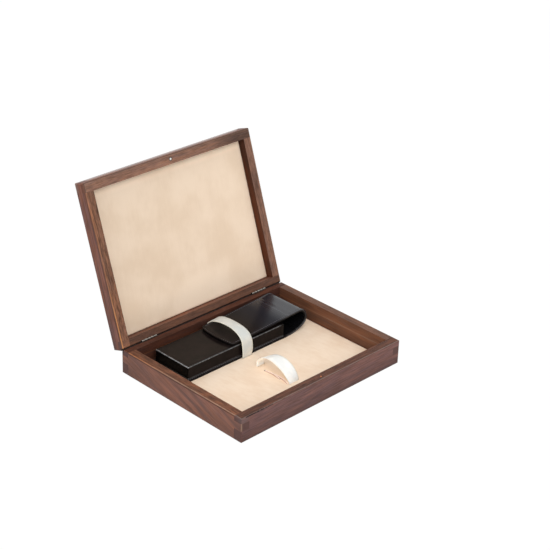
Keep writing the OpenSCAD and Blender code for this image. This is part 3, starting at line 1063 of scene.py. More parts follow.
def tube_ring(centre: Vector, side: Vector, up: Vector, radius: float, count: int) -> List[Point]:
    """Draw a ring of points round a centre.

    Args:
        centre: The middle.
        side: The way to the first point.
        up: The way that the ring turns from there.
        radius: The ring's radius.
        count: Number of points.

    Returns:
        The points.
    """
    turns = [2 * math.pi * step / count for step in range(count)]
    arms = [side * (radius * math.cos(a)) + up * (radius * math.sin(a)) for a in turns]
    return [tuple(centre + arm) for arm in arms]


SPLINE_STEPS = 12


def bend_between(spots: Sequence[Flat], share: float) -> Flat:
    """A place on the smooth line between the middle two of four points.

    Args:
        spots: The four points.
        share: Share of the way from the second to the third.

    Returns:
        The place.
    """
    place = []
    for a, b, c, d in zip(*spots):
        square, cube = 2 * a - 5 * b + 4 * c - d, 3 * b - a - 3 * c + d
        place.append(0.5 * (2 * b + (c - a) * share + square * share * share + cube * share**3))
    return tuple(place)


def spline(points: Sequence[Flat], count: int) -> List[Flat]:
    """Draw a smooth line through points.

    Args:
        points: The points to pass through.
        count: Number of evenly spaced points wanted.

    Returns:
        The points along the line.
    """
    ends = [points[0], *points, points[-1]]
    dense = [
        bend_between(ends[i - 1 : i + 3], step / SPLINE_STEPS)
        for i in range(1, len(ends) - 2)
        for step in range(SPLINE_STEPS)
    ]
    dense.append(points[-1])
    lengths = [0.0]
    for first, second in zip(dense, dense[1:]):
        lengths.append(lengths[-1] + math.dist(first, second))
    line: List[Flat] = []
    place = 0
    for i in range(count):
        wanted = lengths[-1] * i / (count - 1)
        while place < len(dense) - 2 and lengths[place + 1] < wanted:
            place += 1
        gap = lengths[place + 1] - lengths[place]
        share = min(max((wanted - lengths[place]) / gap, 0.0), 1.0) if gap else 0.0
        first, second = dense[place], dense[place + 1]
        line.append(tuple(a + (b - a) * share for a, b in zip(first, second)))
    return line


@dataclass
class Wrap:
    """A sheet laid over a rectangular form and drawn down its sides."""

    xs: Sequence[float]
    ys: Sequence[float]
    height: Callable[[float, float], float]
    profile: Sequence[Flat]
    open_end: bool = False
    fan: int = 5

    def _border(self) -> Border:
        """List the border's stations in order. Corners come several times.

        Returns:
            Each station's two numbers and the way out.
        """
        last_x, last_y = len(self.xs) - 1, len(self.ys) - 1
        front = [(i, 0) for i in range(last_x + 1)]
        right = [(last_x, j) for j in range(last_y + 1)]
        rear = [(i, last_y) for i in reversed(range(last_x + 1))]
        left = [(0, j) for j in reversed(range(last_y + 1))]
        sides = [(rear, 90), (left, 180), (front, 270)]
        if not self.open_end:
            sides.append((right, 360))
        border: Border = []
        for number, (side, angle) in enumerate(sides):
            turn = math.radians(angle)
            border.extend((i, j, (math.cos(turn), math.sin(turn))) for i, j in side)
            if number < len(sides) - 1 or not self.open_end:
                for step in range(1, self.fan):
                    turn = math.radians(angle + 90 * step / self.fan)
                    border.append((*side[-1], (math.cos(turn), math.sin(turn))))
        return border

    def _ring(self, border: Border, out: float, drop: float) -> List[Point]:
        """Points all round the edge, at one step of its side view.

        Args:
            border: The border's stations, each with the way out.
            out: How far out the points lie, or in if it is negative.
            drop: How far up from the face, or down if it is negative.

        Returns:
            The points.
        """
        inset, reach = max(-out, 0.0), max(out, 0.0)
        points = []
        for i, j, (way_x, way_y) in border:
            x, y = self.xs[i], self.ys[j]
            held_x = min(max(x, self.xs[0] + inset), self.xs[-1] - inset)
            held_y = min(max(y, self.ys[0] + inset), self.ys[-1] - inset)
            z = self.height(x, y) + drop
            points.append((held_x + way_x * reach, held_y + way_y * reach, z))
        return points

    def sheet(self, skip: Callable[[float, float, bool], bool]) -> Sheet:
        """Make the sheet.

        Args:
            skip: Tells of a face's middle, and whether it lies on top, if it is left out.

        Returns:
            The points and faces, looking outwards.
        """
        made = Sheet()
        width = len(self.ys)
        for x in self.xs:
            made.points.extend((x, y, self.height(x, y)) for y in self.ys)

        def add(face: Face, on_top: bool) -> None:
            """Add a face, if it isn't left out.

            Args:
                face: The face.
                on_top: Whether it lies on top.
            """
            spots = [made.points[k] for k in face]
            middle_x, middle_y = (sum(p[axis] for p in spots) / len(spots) for axis in (0, 1))
            if not skip(middle_x, middle_y, on_top):
                made.faces.append(face)

        for i in range(len(self.xs) - 1):
            for j in range(width - 1):
                corner = i * width + j
                add((corner, corner + width, corner + width + 1, corner + 1), True)
        border = self._border()
        ring = [i * width + j for i, j, _ in border]
        count = len(border)
        for out, drop in self.profile:
            start = len(made.points)
            made.points.extend(self._ring(border, out, drop))
            for first in range(count - 1 if self.open_end else count):
                second = (first + 1) % count
                here, there = ring[first], ring[second]
                below, beyond = start + first, start + second
                face = (there, here, below, beyond) if here != there else (here, below, beyond)
                add(face, False)
            ring = list(range(start, start + count))
        return made


def nothing(_x: float, _y: float, _top: bool) -> bool:
    """Leave no face out."""
    return False


def round_down(radius: float, steps: int) -> List[Flat]:
    """Profile of a rounded edge that turns from level to straight down."""
    turns = [math.pi / 2 * step / steps for step in range(1, steps + 1)]
    return [(radius * math.sin(a), -radius * (1 - math.cos(a))) for a in turns]


# ---- View and studio ----


@dataclass
class Viewpoint:
    """The camera, looking down on the open case from its front left."""

    azimuth: float = -45.5325
    elevation: float = 27.3278
    roll: float = 1.9144
    distance: float = 1506.6612
    target: Point = (14.7921, 0.0, 99.8415)
    lens: float = 100.5847
    sensor: float = 36.0

    def build(self) -> None:
        """Make the camera and set it as the scene's."""
        turn, tilt, roll = map(math.radians, (self.azimuth, self.elevation, self.roll))
        flat = math.cos(tilt)
        back = Vector((math.sin(turn) * flat, -math.cos(turn) * flat, math.sin(tilt)))
        level = Vector((math.cos(turn), math.sin(turn), 0.0))
        upright = back.cross(level)
        right = level * math.cos(roll) + upright * math.sin(roll)
        up = upright * math.cos(roll) - level * math.sin(roll)
        data = bpy.data.cameras.new("view")
        data.lens = self.lens
        data.sensor_width = self.sensor
        camera = bpy.data.objects.new("view", data)
        place = Matrix((right, up, back)).transposed().to_4x4()
        place.translation = (Vector(self.target) + back * self.distance) * MM
        camera.matrix_world = place
        bpy.context.scene.collection.objects.link(camera)
        bpy.context.scene.camera = camera
        log.info("view: %.1f mm lens", self.lens)


WHITE = (1.0, 1.0, 1.0, 1.0)


@dataclass
class Studio:
    """A white room with a pale floor, a large soft light overhead and a weak fill."""

    ambient: float = 0.62
    lamps: Sequence[Tuple[str, Point, float]] = (
        ("overhead softbox", (0.0, -0.15, 1.6), 3.0),
        ("front softbox", (-0.6, -1.2, 1.35), 19.0),
        ("left softbox", (-1.6, -0.3, 0.9), 6.0),
    )
    softbox: float = 1.5
    floor_half: float = 6.0
    floor_glow: float = 0.96
    glow: float = 1.05
    floor_level: float = -0.05

    def build(self) -> None:
        """Make the world, the floor and the lights."""
        bpy.context.scene.view_settings.view_transform = "Standard"
        self._world()
        self._floor()
        for lamp in self.lamps:
            self._light(*lamp)
        log.info("studio: ambient %.2f", self.ambient)

    def _seen(self, graph: Graph) -> Wire:
        """Tell which rays see the white room.

        Args:
            graph: The graph to add to.

        Returns:
            One where a ray comes from the camera, a reflection or glass.
        """
        ray = graph.node("ShaderNodeLightPath", output="Is Camera Ray")
        seen = graph.larger(ray, ray.output("Is Glossy Ray"))
        return graph.larger(seen, ray.output("Is Transmission Ray"))

    def _world(self) -> None:
        """Light evenly from all round, behind a white backdrop."""
        world = bpy.data.worlds.new("white room")
        world.use_nodes = True
        bpy.context.scene.world = world
        graph = Graph(world.node_tree)
        dim, full = (
            graph.node("ShaderNodeBackground", inputs={"Color": WHITE, "Strength": strength})
            for strength in (self.ambient, 1.0)
        )
        mixed = graph.node("ShaderNodeMixShader", inputs={0: self._seen(graph), 1: dim, 2: full})
        graph.node("ShaderNodeOutputWorld", inputs={"Surface": mixed})

    def _floor(self) -> None:
        """Lay a pale floor that glows white and still takes a shadow."""
        sheet = Sheet()
        sides = (-self.floor_half / MM, self.floor_half / MM)
        sheet.grid([[(x, y, self.floor_level) for y in sides] for x in sides])
        floor = sheet.build("floor")
        material, graph = new_material("pale floor")
        soft = graph.node("ShaderNodeBsdfDiffuse", inputs={"Color": colour(110, 110, 110)})
        glow = graph.node("ShaderNodeEmission", inputs={"Color": WHITE, "Strength": self.glow})
        share = self._seen(graph) * self.floor_glow
        mixed = graph.node("ShaderNodeMixShader", inputs={0: share, 1: soft, 2: glow})
        graph.node("ShaderNodeOutputMaterial", inputs={"Surface": mixed})
        paint_piece(floor, material)

    def _light(self, name: str, place: Point, power: float) -> None:
        """Hang one soft square light that looks at the case.

        Args:
            name: The light's name.
            place: Where it hangs, in metres.
            power: Its power in watts.
        """
        data = bpy.data.lights.new(name, "AREA")
        data.energy = power
        data.size = self.softbox
        lamp = bpy.data.objects.new(name, data)
        lamp.location = place
        lamp.rotation_euler = (-Vector(place)).to_track_quat("-Z", "Y").to_euler()
        bpy.context.scene.collection.objects.link(lamp)


# ---- The case ----


def lid_place() -> Matrix:
    """Turn a drawing of an upright tray over, and swing it open about the pins.

    Returns:
        The move, in millimetres.
    """
    pin = Vector((0.0, CASE.pin_y, CASE.pin_z))
    swing = Matrix.Rotation(-math.radians(CASE.lid_open), 4, "X")
    over = Matrix.Diagonal((1.0, 1.0, -1.0, 1.0))
    lift = Matrix.Translation((0.0, -pin.y, CASE.shut_height - pin.z))
    return Matrix.Translation(pin) @ swing @ lift @ over


GOLDEN_WEAR = colour(214, 148, 92)


@dataclass
class Woodwork:
    """The walls and panels of both trays."""

    def finishes(self) -> Dict[str, Walnut]:
        """Say how each board looks.

        Returns:
            The finish of each wooden node.
        """
        side = Grain.FRONT_TO_BACK
        lid = Half.LID
        grey = colour(138, 122, 116)
        base_panel = colour(110, 72, 58)
        lid_panel = colour(122, 82, 66)
        return {
            "base_left_wall": Walnut(
                "walnut_base_left", colour(142, 97, 81), colour(109, 67, 47), side,
                slant=20, ring=7.5, contrast=0.5, depth=0.35, cool=0.9, hue=0.35, seed=1,
                calm=-25.0, ridge=0.4, wear=0.4, wear_rear=0.6, rim_fibres=1.1, line=0.8,
                foot=0.12,
            ),
            "base_right_wall": Walnut(
                "walnut_base_right", colour(109, 70, 50), colour(105, 72, 56), side,
                slant=3, seed=2, hue=0.5, wear=0.15, wear_rear=0.15, foot=0.3,
                fade=(10.0, 76.0, 0.22),
            ),
            "base_front_wall": Walnut(
                "walnut_base_front", colour(128, 91, 84), colour(86, 52, 38), ring=9,
                contrast=0.4, depth=0.16, foot=0.42, seed=3, worn=grey, worn_rear=grey,
                wear=0.5, wear_rear=0.5, line=0.4, line_out=(-1.0, 0.1), chipped=1.0,
                fibres=0.6, rim_fibres=1.3, hue=0.4,
            ),
            "base_back_wall": Walnut(
                "walnut_base_back", colour(71, 41, 31), colour(75, 43, 31), slant=-2,
                ring=8, seed=4, wear=0.1, wear_rear=0.1,
            ),
            "lid_left_wall": Walnut(
                "walnut_lid_left", colour(129, 86, 73), colour(128, 88, 67), side, lid,
                slant=2, ring=8, contrast=0.5, depth=0.4, seed=5,
                worn=colour(170, 120, 84), worn_rear=GOLDEN_WEAR, wear=0.45,
                wear_rear=0.95, wear_reach=0.6, line=0.6, line_out=(0.3, 2.0), fibres=0.7,
                rim_fibres=1.6, fade=(-30.0, 40.0, 0.15), fade_rim=True,
            ),
            "lid_right_wall": Walnut(
                "walnut_lid_right", colour(78, 39, 21), colour(124, 89, 72), side, lid,
                slant=-2, seed=6, wear=0.3, wear_rear=0.2, fade=(0.0, -70.0, 0.35),
                rim_fibres=1.1,
            ),
            "lid_front_wall": Walnut(
                "walnut_lid_front", colour(124, 84, 70), colour(130, 95, 78), half=lid,
                slant=1, seed=7, wear=0.1, wear_rear=0.1, fade=(40.0, 95.0, 0.5),
                fade_rim=True, line=0.75, line_out=(-1.0, 0.3), polished=0.75,
                cut=colour(120, 78, 62),
            ),
            "lid_back_wall": Walnut(
                "walnut_lid_back", colour(110, 70, 54), colour(92, 62, 48), half=lid,
                slant=-1, ring=8, seed=8, wear=0.1, wear_rear=0.1,
                corner=colour(127, 87, 67), worn_rear=GOLDEN_WEAR,
            ),
            "base_bottom_panel": Walnut(
                "walnut_base_panel", base_panel, base_panel, slant=1, ring=11,
                contrast=0.6, seed=9, wear=0.0, wear_rear=0.0,
            ),
            "lid_top_panel": Walnut(
                "walnut_lid_panel", lid_panel, lid_panel, half=lid, slant=-1.5, ring=11,
                contrast=0.7, seed=10, wear=0.0, wear_rear=0.0,
            ),
        }

    def dress(self) -> None:
        """Paint every board."""
        for node, finish in self.finishes().items():
            paint_node(node, finish.material())
            log.info("board: %s", node)


@dataclass
class Hardware:
    """Hinges, brads and catch magnets."""

    magnet_y: float = CASE.wall / 2 - CASE.depth / 2

    def dress(self) -> None:
        """Paint every metal part."""
        bright, dull = colour(222, 220, 214), colour(176, 172, 164)
        nickel = Metal("brushed_nickel", bright, dull, underside_shade=0.9).material()
        for name in sorted(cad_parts):
            if name.startswith("hinge_") or name.endswith("_brads"):
                paint_node(name, nickel)
        steel = Metal("dark_steel", colour(70, 66, 62), colour(46, 43, 40), 0.4).material()
        for name in ("hinge_left_pin", "hinge_right_pin"):
            paint_node(name, steel)
        for half, rim, ring, middle, bare in (
            (Half.BASE, CASE.base_rim, colour(64, 36, 26), colour(196, 116, 66), 0.8),
            (Half.LID, CASE.lid_rim, colour(58, 38, 32), colour(236, 234, 230), 1.0),
        ):
            name = half.value + "_magnet"
            centre = (0.0, self.magnet_y, rim)
            disc = StainedDisc("stained_" + name, ring, middle, half, centre, bare)
            paint_node(name, disc.material())
        log.info("hardware: hinges, brads and magnets")


@dataclass
class Lining:
    """Napped fabric over card and thin foam, in both trays."""

    edge_round: float = 1.6
    lower_round: float = 0.7
    hem: float = 12.0
    fabric: float = 0.6
    rear_gap: float = 0.3
    grid_step: float = 3.4
    slit_gap: float = 0.3
    band_x: float = -2.5
    band_width: float = 12.5
    band_t: float = 0.6
    base_pad: Flat = (3.0, 6.0)
    lid_pad: Flat = (3.2, 7.2)
    swell: float = 0.12
    swell_over: float = 12.0
    unevenness: float = 0.05
    fine_xs: Point = (-14.0, -3.0, 1.2)
    fine_ys: Point = (-50.0, -10.0, 1.6)
    hem_start: float = 0.4
    hole_z: float = 5.9
    thread_r: float = 0.52
    thread_z: float = 5.5
    thread_rise: float = 0.85
    thread_points: int = 22
    dip_width: float = 1.7
    dip_depth: float = 0.4
    thread_shade_shift: float = -0.95
    feet: Sequence[Tuple[float, int, float]] = (
        (-48.0, -1, 0.0), (-2.0, 1, 2.4), (18.5, -1, 0.0), (73.5, 1, 0.0),
    )
    strands: Sequence[Sequence[Flat]] = (
        ((-8.2, -13.1), (-7.1, -22.4), (-8.3, -34.0)),
        ((-6.3, -23.6), (-6.3, -34.5), (-8.8, -46.4)),
    )

    def _profile(self, stack: float) -> List[Flat]:
        """Draw the side view of the fabric's edge: over, down and under as a hem.

        Args:
            stack: Height of the padded card.

        Returns:
            Steps out and up from the face.
        """
        out, low = self.edge_round, self.lower_round
        lines = round_down(out, 4)
        lines.append((out, -stack / 2 - 0.2))
        for step in range(4):
            turn = math.pi / 2 * step / 3
            lines.append((out - low * (1 - math.cos(turn)), low - stack - low * math.sin(turn)))
        return [*lines, (-2.0, -stack), (out - self.hem, -stack)]

    def _slit_x(self) -> Flat:
        """Ends of a whole slit, from left to right."""
        half = self.band_width / 2 + self.slit_gap
        return (self.band_x - half, self.band_x + half)

    def _slits(self) -> List[Tuple[float, float, float]]:
        """List the slits from front to back.

        Returns:
            Front, rear and right end of each.
        """
        slits = []
        for foot, side, drawn in self.feet:
            ends = (foot - side * (self.band_t + self.slit_gap), foot + side * self.slit_gap)
            slits.append((min(ends), max(ends), self._slit_x()[1] - drawn))
        return slits

    def _lengths(self) -> List[Tuple[Flat, Flat]]:
        """Both ends of each straight length of the sewn thread."""
        return [pair for strand in self.strands for pair in zip(strand, strand[1:])]

    def _dip(self, x: float, y: float) -> float:
        """How far the fabric is drawn down beside the sewn thread.

        Args:
            x: Place along the hinge line.
            y: Place from front to rear.

        Returns:
            The depth.
        """
        depth = 0.0
        for (x0, y0), (x1, y1) in self._lengths():
            span = (x1 - x0) ** 2 + (y1 - y0) ** 2
            share = min(max(((x - x0) * (x1 - x0) + (y - y0) * (y1 - y0)) / span, 0.0), 1.0)
            near = math.dist((x, y), (x0 + (x1 - x0) * share, y0 + (y1 - y0) * share))
            depth = max(depth, bell(near, self.dip_width) * self.dip_depth)
        return depth

    def _swell(self, x: float, y: float, half_x: float, half_y: float) -> float:
        """Slight unevenness of the padding, none at its edges.

        Args:
            x: Place along the hinge line.
            y: Place from front to rear.
            half_x: Half the padding's width.
            half_y: Half its depth.

        Returns:
            How far it stands up.
        """
        inside = smooth(min(half_x - abs(x), half_y - abs(y)) / self.swell_over)
        wave = math.sin(x / 17 + 1.3) * math.cos(y / 21 + 0.4) + 0.6 * math.sin(x / 9 - y / 13)
        return (self.swell + self.unevenness * wave) * inside

    def _cover(self, name: str, node: str, half: Half, stack: float, top: float) -> Piece:
        """Make one cover.

        Args:
            name: The new piece's name.
            node: The CAD cover that it stands for.
            half: The tray that it lies in.
            stack: Height of the padded card.
            top: Height of its face in its own tray.

        Returns:
            The cover.
        """
        low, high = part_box(node)
        half_x = (high.x - low.x) / 2 / MM - self.edge_round
        half_y = (CASE.depth / 2 - CASE.wall - self.rear_gap) - self.edge_round
        slits = self._slits() if half is Half.BASE else []
        slit_x = self._slit_x()
        extra_x: List[float] = []
        extra_y = [end for slit in slits for end in slit[:2]]
        if slits:
            extra_x = [slit_x[0], *(slit[2] for slit in slits), *stations(*self.fine_xs)]
            extra_y += stations(*self.fine_ys)
        xs = stations(-half_x, half_x, self.grid_step, extra_x)
        ys = stations(-half_y, half_y, self.grid_step, extra_y)

        def height(x: float, y: float) -> float:
            """Height of the fabric's face.

            Args:
                x: Place along the hinge line.
                y: Place from front to rear.

            Returns:
                The height in its own tray.
            """
            dip = self._dip(x, y) if slits else 0.0
            return top + self._swell(x, y, half_x, half_y) - dip

        def skip(x: float, y: float, face: bool) -> bool:
            """Leave the slits open, and the hem where a ribbon's tail crosses it.

            Args:
                x: The middle of a face, along the hinge line.
                y: The same from front to rear.
                face: Whether it lies on top.

            Returns:
                Whether it is left out.
            """
            if not slits or not slit_x[0] < x < slit_x[1]:
                return False
            if face:
                return any(start < y < end and x < right for start, end, right in slits)
            return half_y - self.hem < y < half_y - self.hem_start

        sheet = Wrap(xs, ys, height, self._profile(stack)).sheet(skip)
        cover = sheet.build(name, lid_place() if half is Half.LID else None)
        thicken(cover, self.fabric)
        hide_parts(node)
        turned = self.edge_round + stack + self.hem
        cut_x, cut_y = 2 * (half_x + turned) * MM, 2 * (half_y + turned) * MM
        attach(cover, half.value)
        log.info("cover: %s, cut %.1f x %.1f mm", name, cut_x / MM, cut_y / MM)
        return cover

    def build(self) -> None:
        """Make both covers, the sewn thread, and paint what lies under them."""
        ends = (self.strands[0][0], self.strands[0][-1])
        # The shade lines beside the thread are painted shade, moved to one side of each strand.
        shift = self.thread_shade_shift
        thread_shade_lines = [((x0 + shift, y0), (x1 + shift, y1)) for (x0, y0), (x1, y1) in self._lengths()]
        base_nap = Nap(
            "napped_base", colour(243, 222, 199), colour(235, 210, 184), Half.BASE,
            holes=[(*end, self.hole_z) for end in ends], thread_shade_lines=thread_shade_lines,
        )
        # The lid's lining takes painted light near its front wall, painted shade towards the hinge
        # and a painted slope of light from left to right.
        lid_nap = Nap(
            "napped_lid", colour(243, 221, 197), colour(233, 209, 183), Half.LID,
            brushed=0.12, cloud=42.0, lean=0.0007, painted_light_front=0.3, painted_shade_rear=0.15,
        )
        for nap, (stack, top) in ((base_nap, self.base_pad), (lid_nap, self.lid_pad)):
            tray = nap.half.value + "_lining_"
            cover = self._cover(tray + "fabric", tray + "cover", nap.half, stack, top)
            paint_piece(cover, nap.material())
        card = Plain("grey_card", colour(186, 178, 164), colour(158, 150, 136), 0.9).material()
        foam = Plain("thin_foam", colour(240, 238, 228), colour(220, 216, 202), 0.5).material()
        for half in Half:
            paint_node(half.value + "_lining_card", card)
            paint_node(half.value + "_lining_foam", foam)
        self._thread()

    def _thread(self) -> None:
        """Sew the pale pink thread into the base's lining, in two strands."""
        sheet = Sheet()
        last = self.thread_points - 1
        for strand in self.strands:
            line = spline(strand, self.thread_points)
            rings = []
            for i, (x, y) in enumerate(line):
                before, after = line[max(i - 1, 0)], line[min(i + 1, last)]
                turn = math.atan2(after[1] - before[1], after[0] - before[0])
                lift = self.thread_z + self.thread_rise * math.sin(math.pi * i / last) ** 0.4
                side = Vector((-math.sin(turn), math.cos(turn), 0.0))
                rings.append(tube_ring(Vector((x, y, lift)), side, UPRIGHT, self.thread_r, 8))
            sheet.closed(rings)
        thread = sheet.build("sewn_thread")
        paint = Plain("pink_thread", colour(255, 240, 230), colour(246, 220, 206), 0.5)
        paint_piece(thread, paint.material())
        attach(thread, "base")
        log.info("thread: %d strands", len(self.strands))


@dataclass
class Band:
    """A satin ribbon that comes up out of one slit and goes down into another."""

    name: str
    node: str
    near: Sequence[Flat]
    far: Sequence[Flat]
    front_foot: float
    rear_foot: float
    middle: float = -2.5
    width: float = 12.5
    thickness: float = 0.42
    tail: float = 8.4
    tail_z: float = 3.3
    slit_z: float = 4.6
    crown: float = 0.16
    loose_from: float = 7.0
    loose_over: float = 8.0
    columns: int = 9
    steps: int = 56
    crease: float = 0.0
    crease_row: int = 17
    crease_width: float = 1.6
    pinch: float = 0.0
    pinch_from: float = 0.55
    pinch_over: float = 0.35

    def _edge(self, points: Sequence[Flat]) -> List[Flat]:
        """Draw one edge of the ribbon, with both tails under the card.

        Args:
            points: The part of it that shows, as (y, z).

        Returns:
            The whole edge, from the front tail to the rear one.
        """

        def tail(foot: float, way: int) -> List[Flat]:
            """The tail at one foot, from its end to the slit."""
            steps = ((self.tail, 0.0), (1.2, 0.0), (0.35, 0.06), (0.0, 0.5))
            return [(foot + way * along, self.tail_z + up) for along, up in steps]

        front, rear = self.front_foot, self.rear_foot
        loop = [(front, self.slit_z), *points, (rear, self.slit_z)]
        return [*tail(front, 1), *spline(loop, self.steps), *reversed(tail(rear, -1))]

    def _row(self, number: int, share_along: float, near: Flat, far: Flat) -> List[Point]:
        """Draw the ribbon across its width.

        Args:
            number: The row's number.
            share_along: How far along the ribbon it is, from 0 to 1.
            near: Its place on the left edge, as (y, z).
            far: Its place on the right edge.

        Returns:
            The row's points.
        """
        gathered = smooth((share_along - self.pinch_from) / self.pinch_over)
        row = []
        for column in range(self.columns):
            share = column / (self.columns - 1)
            x = self.middle + (share - 0.5) * self.width - share * self.pinch * gathered
            y = near[0] + (far[0] - near[0]) * share
            z = near[1] + (far[1] - near[1]) * share
            loose = smooth((z - self.loose_from) / self.loose_over)
            crown = self.crown * (1 - (2 * share - 1) ** 2) * loose
            fold = self.crease * bell(number - self.crease_row - 2 * share, self.crease_width)
            row.append((x, y - fold, z + crown - fold))
        return row

    def build(self, finish: Satin) -> None:
        """Args:
            finish: Its satin.
        """
        near, far = self._edge(self.near), self._edge(self.far)
        count = len(near)
        rows = [self._row(i, i / count, *spots) for i, spots in enumerate(zip(near, far))]
        sheet = Sheet()
        sheet.grid(rows)
        band = sheet.build(self.name)
        thicken(band, self.thickness, 0.0)
        paint_piece(band, finish.material())
        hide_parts(self.node)
        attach(band, "base")


def build_bands() -> None:
    """Make both ribbons."""
    glow_cream = colour(226, 210, 190)
    front = Satin("ivory_satin_front", colour(240, 238, 232), colour(246, 243, 234), glow_cream, -15.0)
    # The rear ribbon takes a darker copy of the same satin: painted shade where the open lid keeps
    # light off it.
    rear = Satin("shaded_ivory_satin_rear", colour(207, 206, 199), colour(227, 224, 210), glow_cream)
    Band(
        "pen_band", "pen_strap",
        near=[(-48.0, 6.2), (-45.6, 8.9), (-41.9, 12.1), (-38.3, 14.9), (-33.2, 17.3),
              (-28.2, 19.1), (-23.1, 20.4), (-18.2, 20.9), (-12.8, 20.2), (-7.6, 18.0),
              (-3.6, 14.6), (-1.4, 10.6), (-1.5, 7.4)],
        far=[(-48.2, 6.6), (-47.1, 10.3), (-44.0, 14.8), (-39.7, 18.6), (-34.6, 21.0),
             (-28.9, 22.5), (-23.1, 22.5), (-17.4, 21.5), (-11.8, 19.0), (-6.1, 15.2),
             (-1.9, 10.7), (-1.6, 7.2)],
        front_foot=-47.7, rear_foot=-2.1, pinch=2.4,
    ).build(front)
    Band(
        "pouch_band", "pouch_strap",
        near=[(18.6, 8.0), (18.7, 12.0), (19.1, 16.0), (20.0, 21.4), (21.9, 26.3), (26.0, 30.0),
              (31.2, 32.3), (37.2, 33.7), (44.8, 33.9), (52.3, 33.3), (59.9, 31.4),
              (64.5, 29.6), (67.8, 27.9), (70.6, 25.6), (72.3, 22.0), (73.1, 16.0), (73.2, 9.0)],
        far=[(18.4, 8.0), (17.5, 11.5), (17.2, 14.6), (17.5, 20.0), (19.1, 25.2), (22.2, 29.2),
             (26.7, 31.6), (32.7, 33.2), (41.7, 33.8), (50.7, 33.6), (59.8, 32.3),
             (64.4, 30.7), (69.0, 28.0), (71.8, 23.6), (73.1, 17.0), (73.2, 9.0)],
        front_foot=18.8, rear_foot=73.2, steps=64, crease=0.22,
    ).build(rear)


class Layer(NamedTuple):
    """One of the strip's two layers: how deep its face lies, how thick and how much narrower."""

    depth: float
    thickness: float
    inset: float


class Station(NamedTuple):
    """A place along the strip's side view, as (x, z), with the way out and half its width."""

    point: Flat
    out: Flat
    half: float


STITCH = ((-0.95, 0.1), (-0.8, 0.22), (0.0, 0.27), (0.8, 0.22), (0.95, 0.1))
OUTER = Layer(0.0, 1.4, 0.0)
INNER = Layer(1.42, 1.2, 0.2)


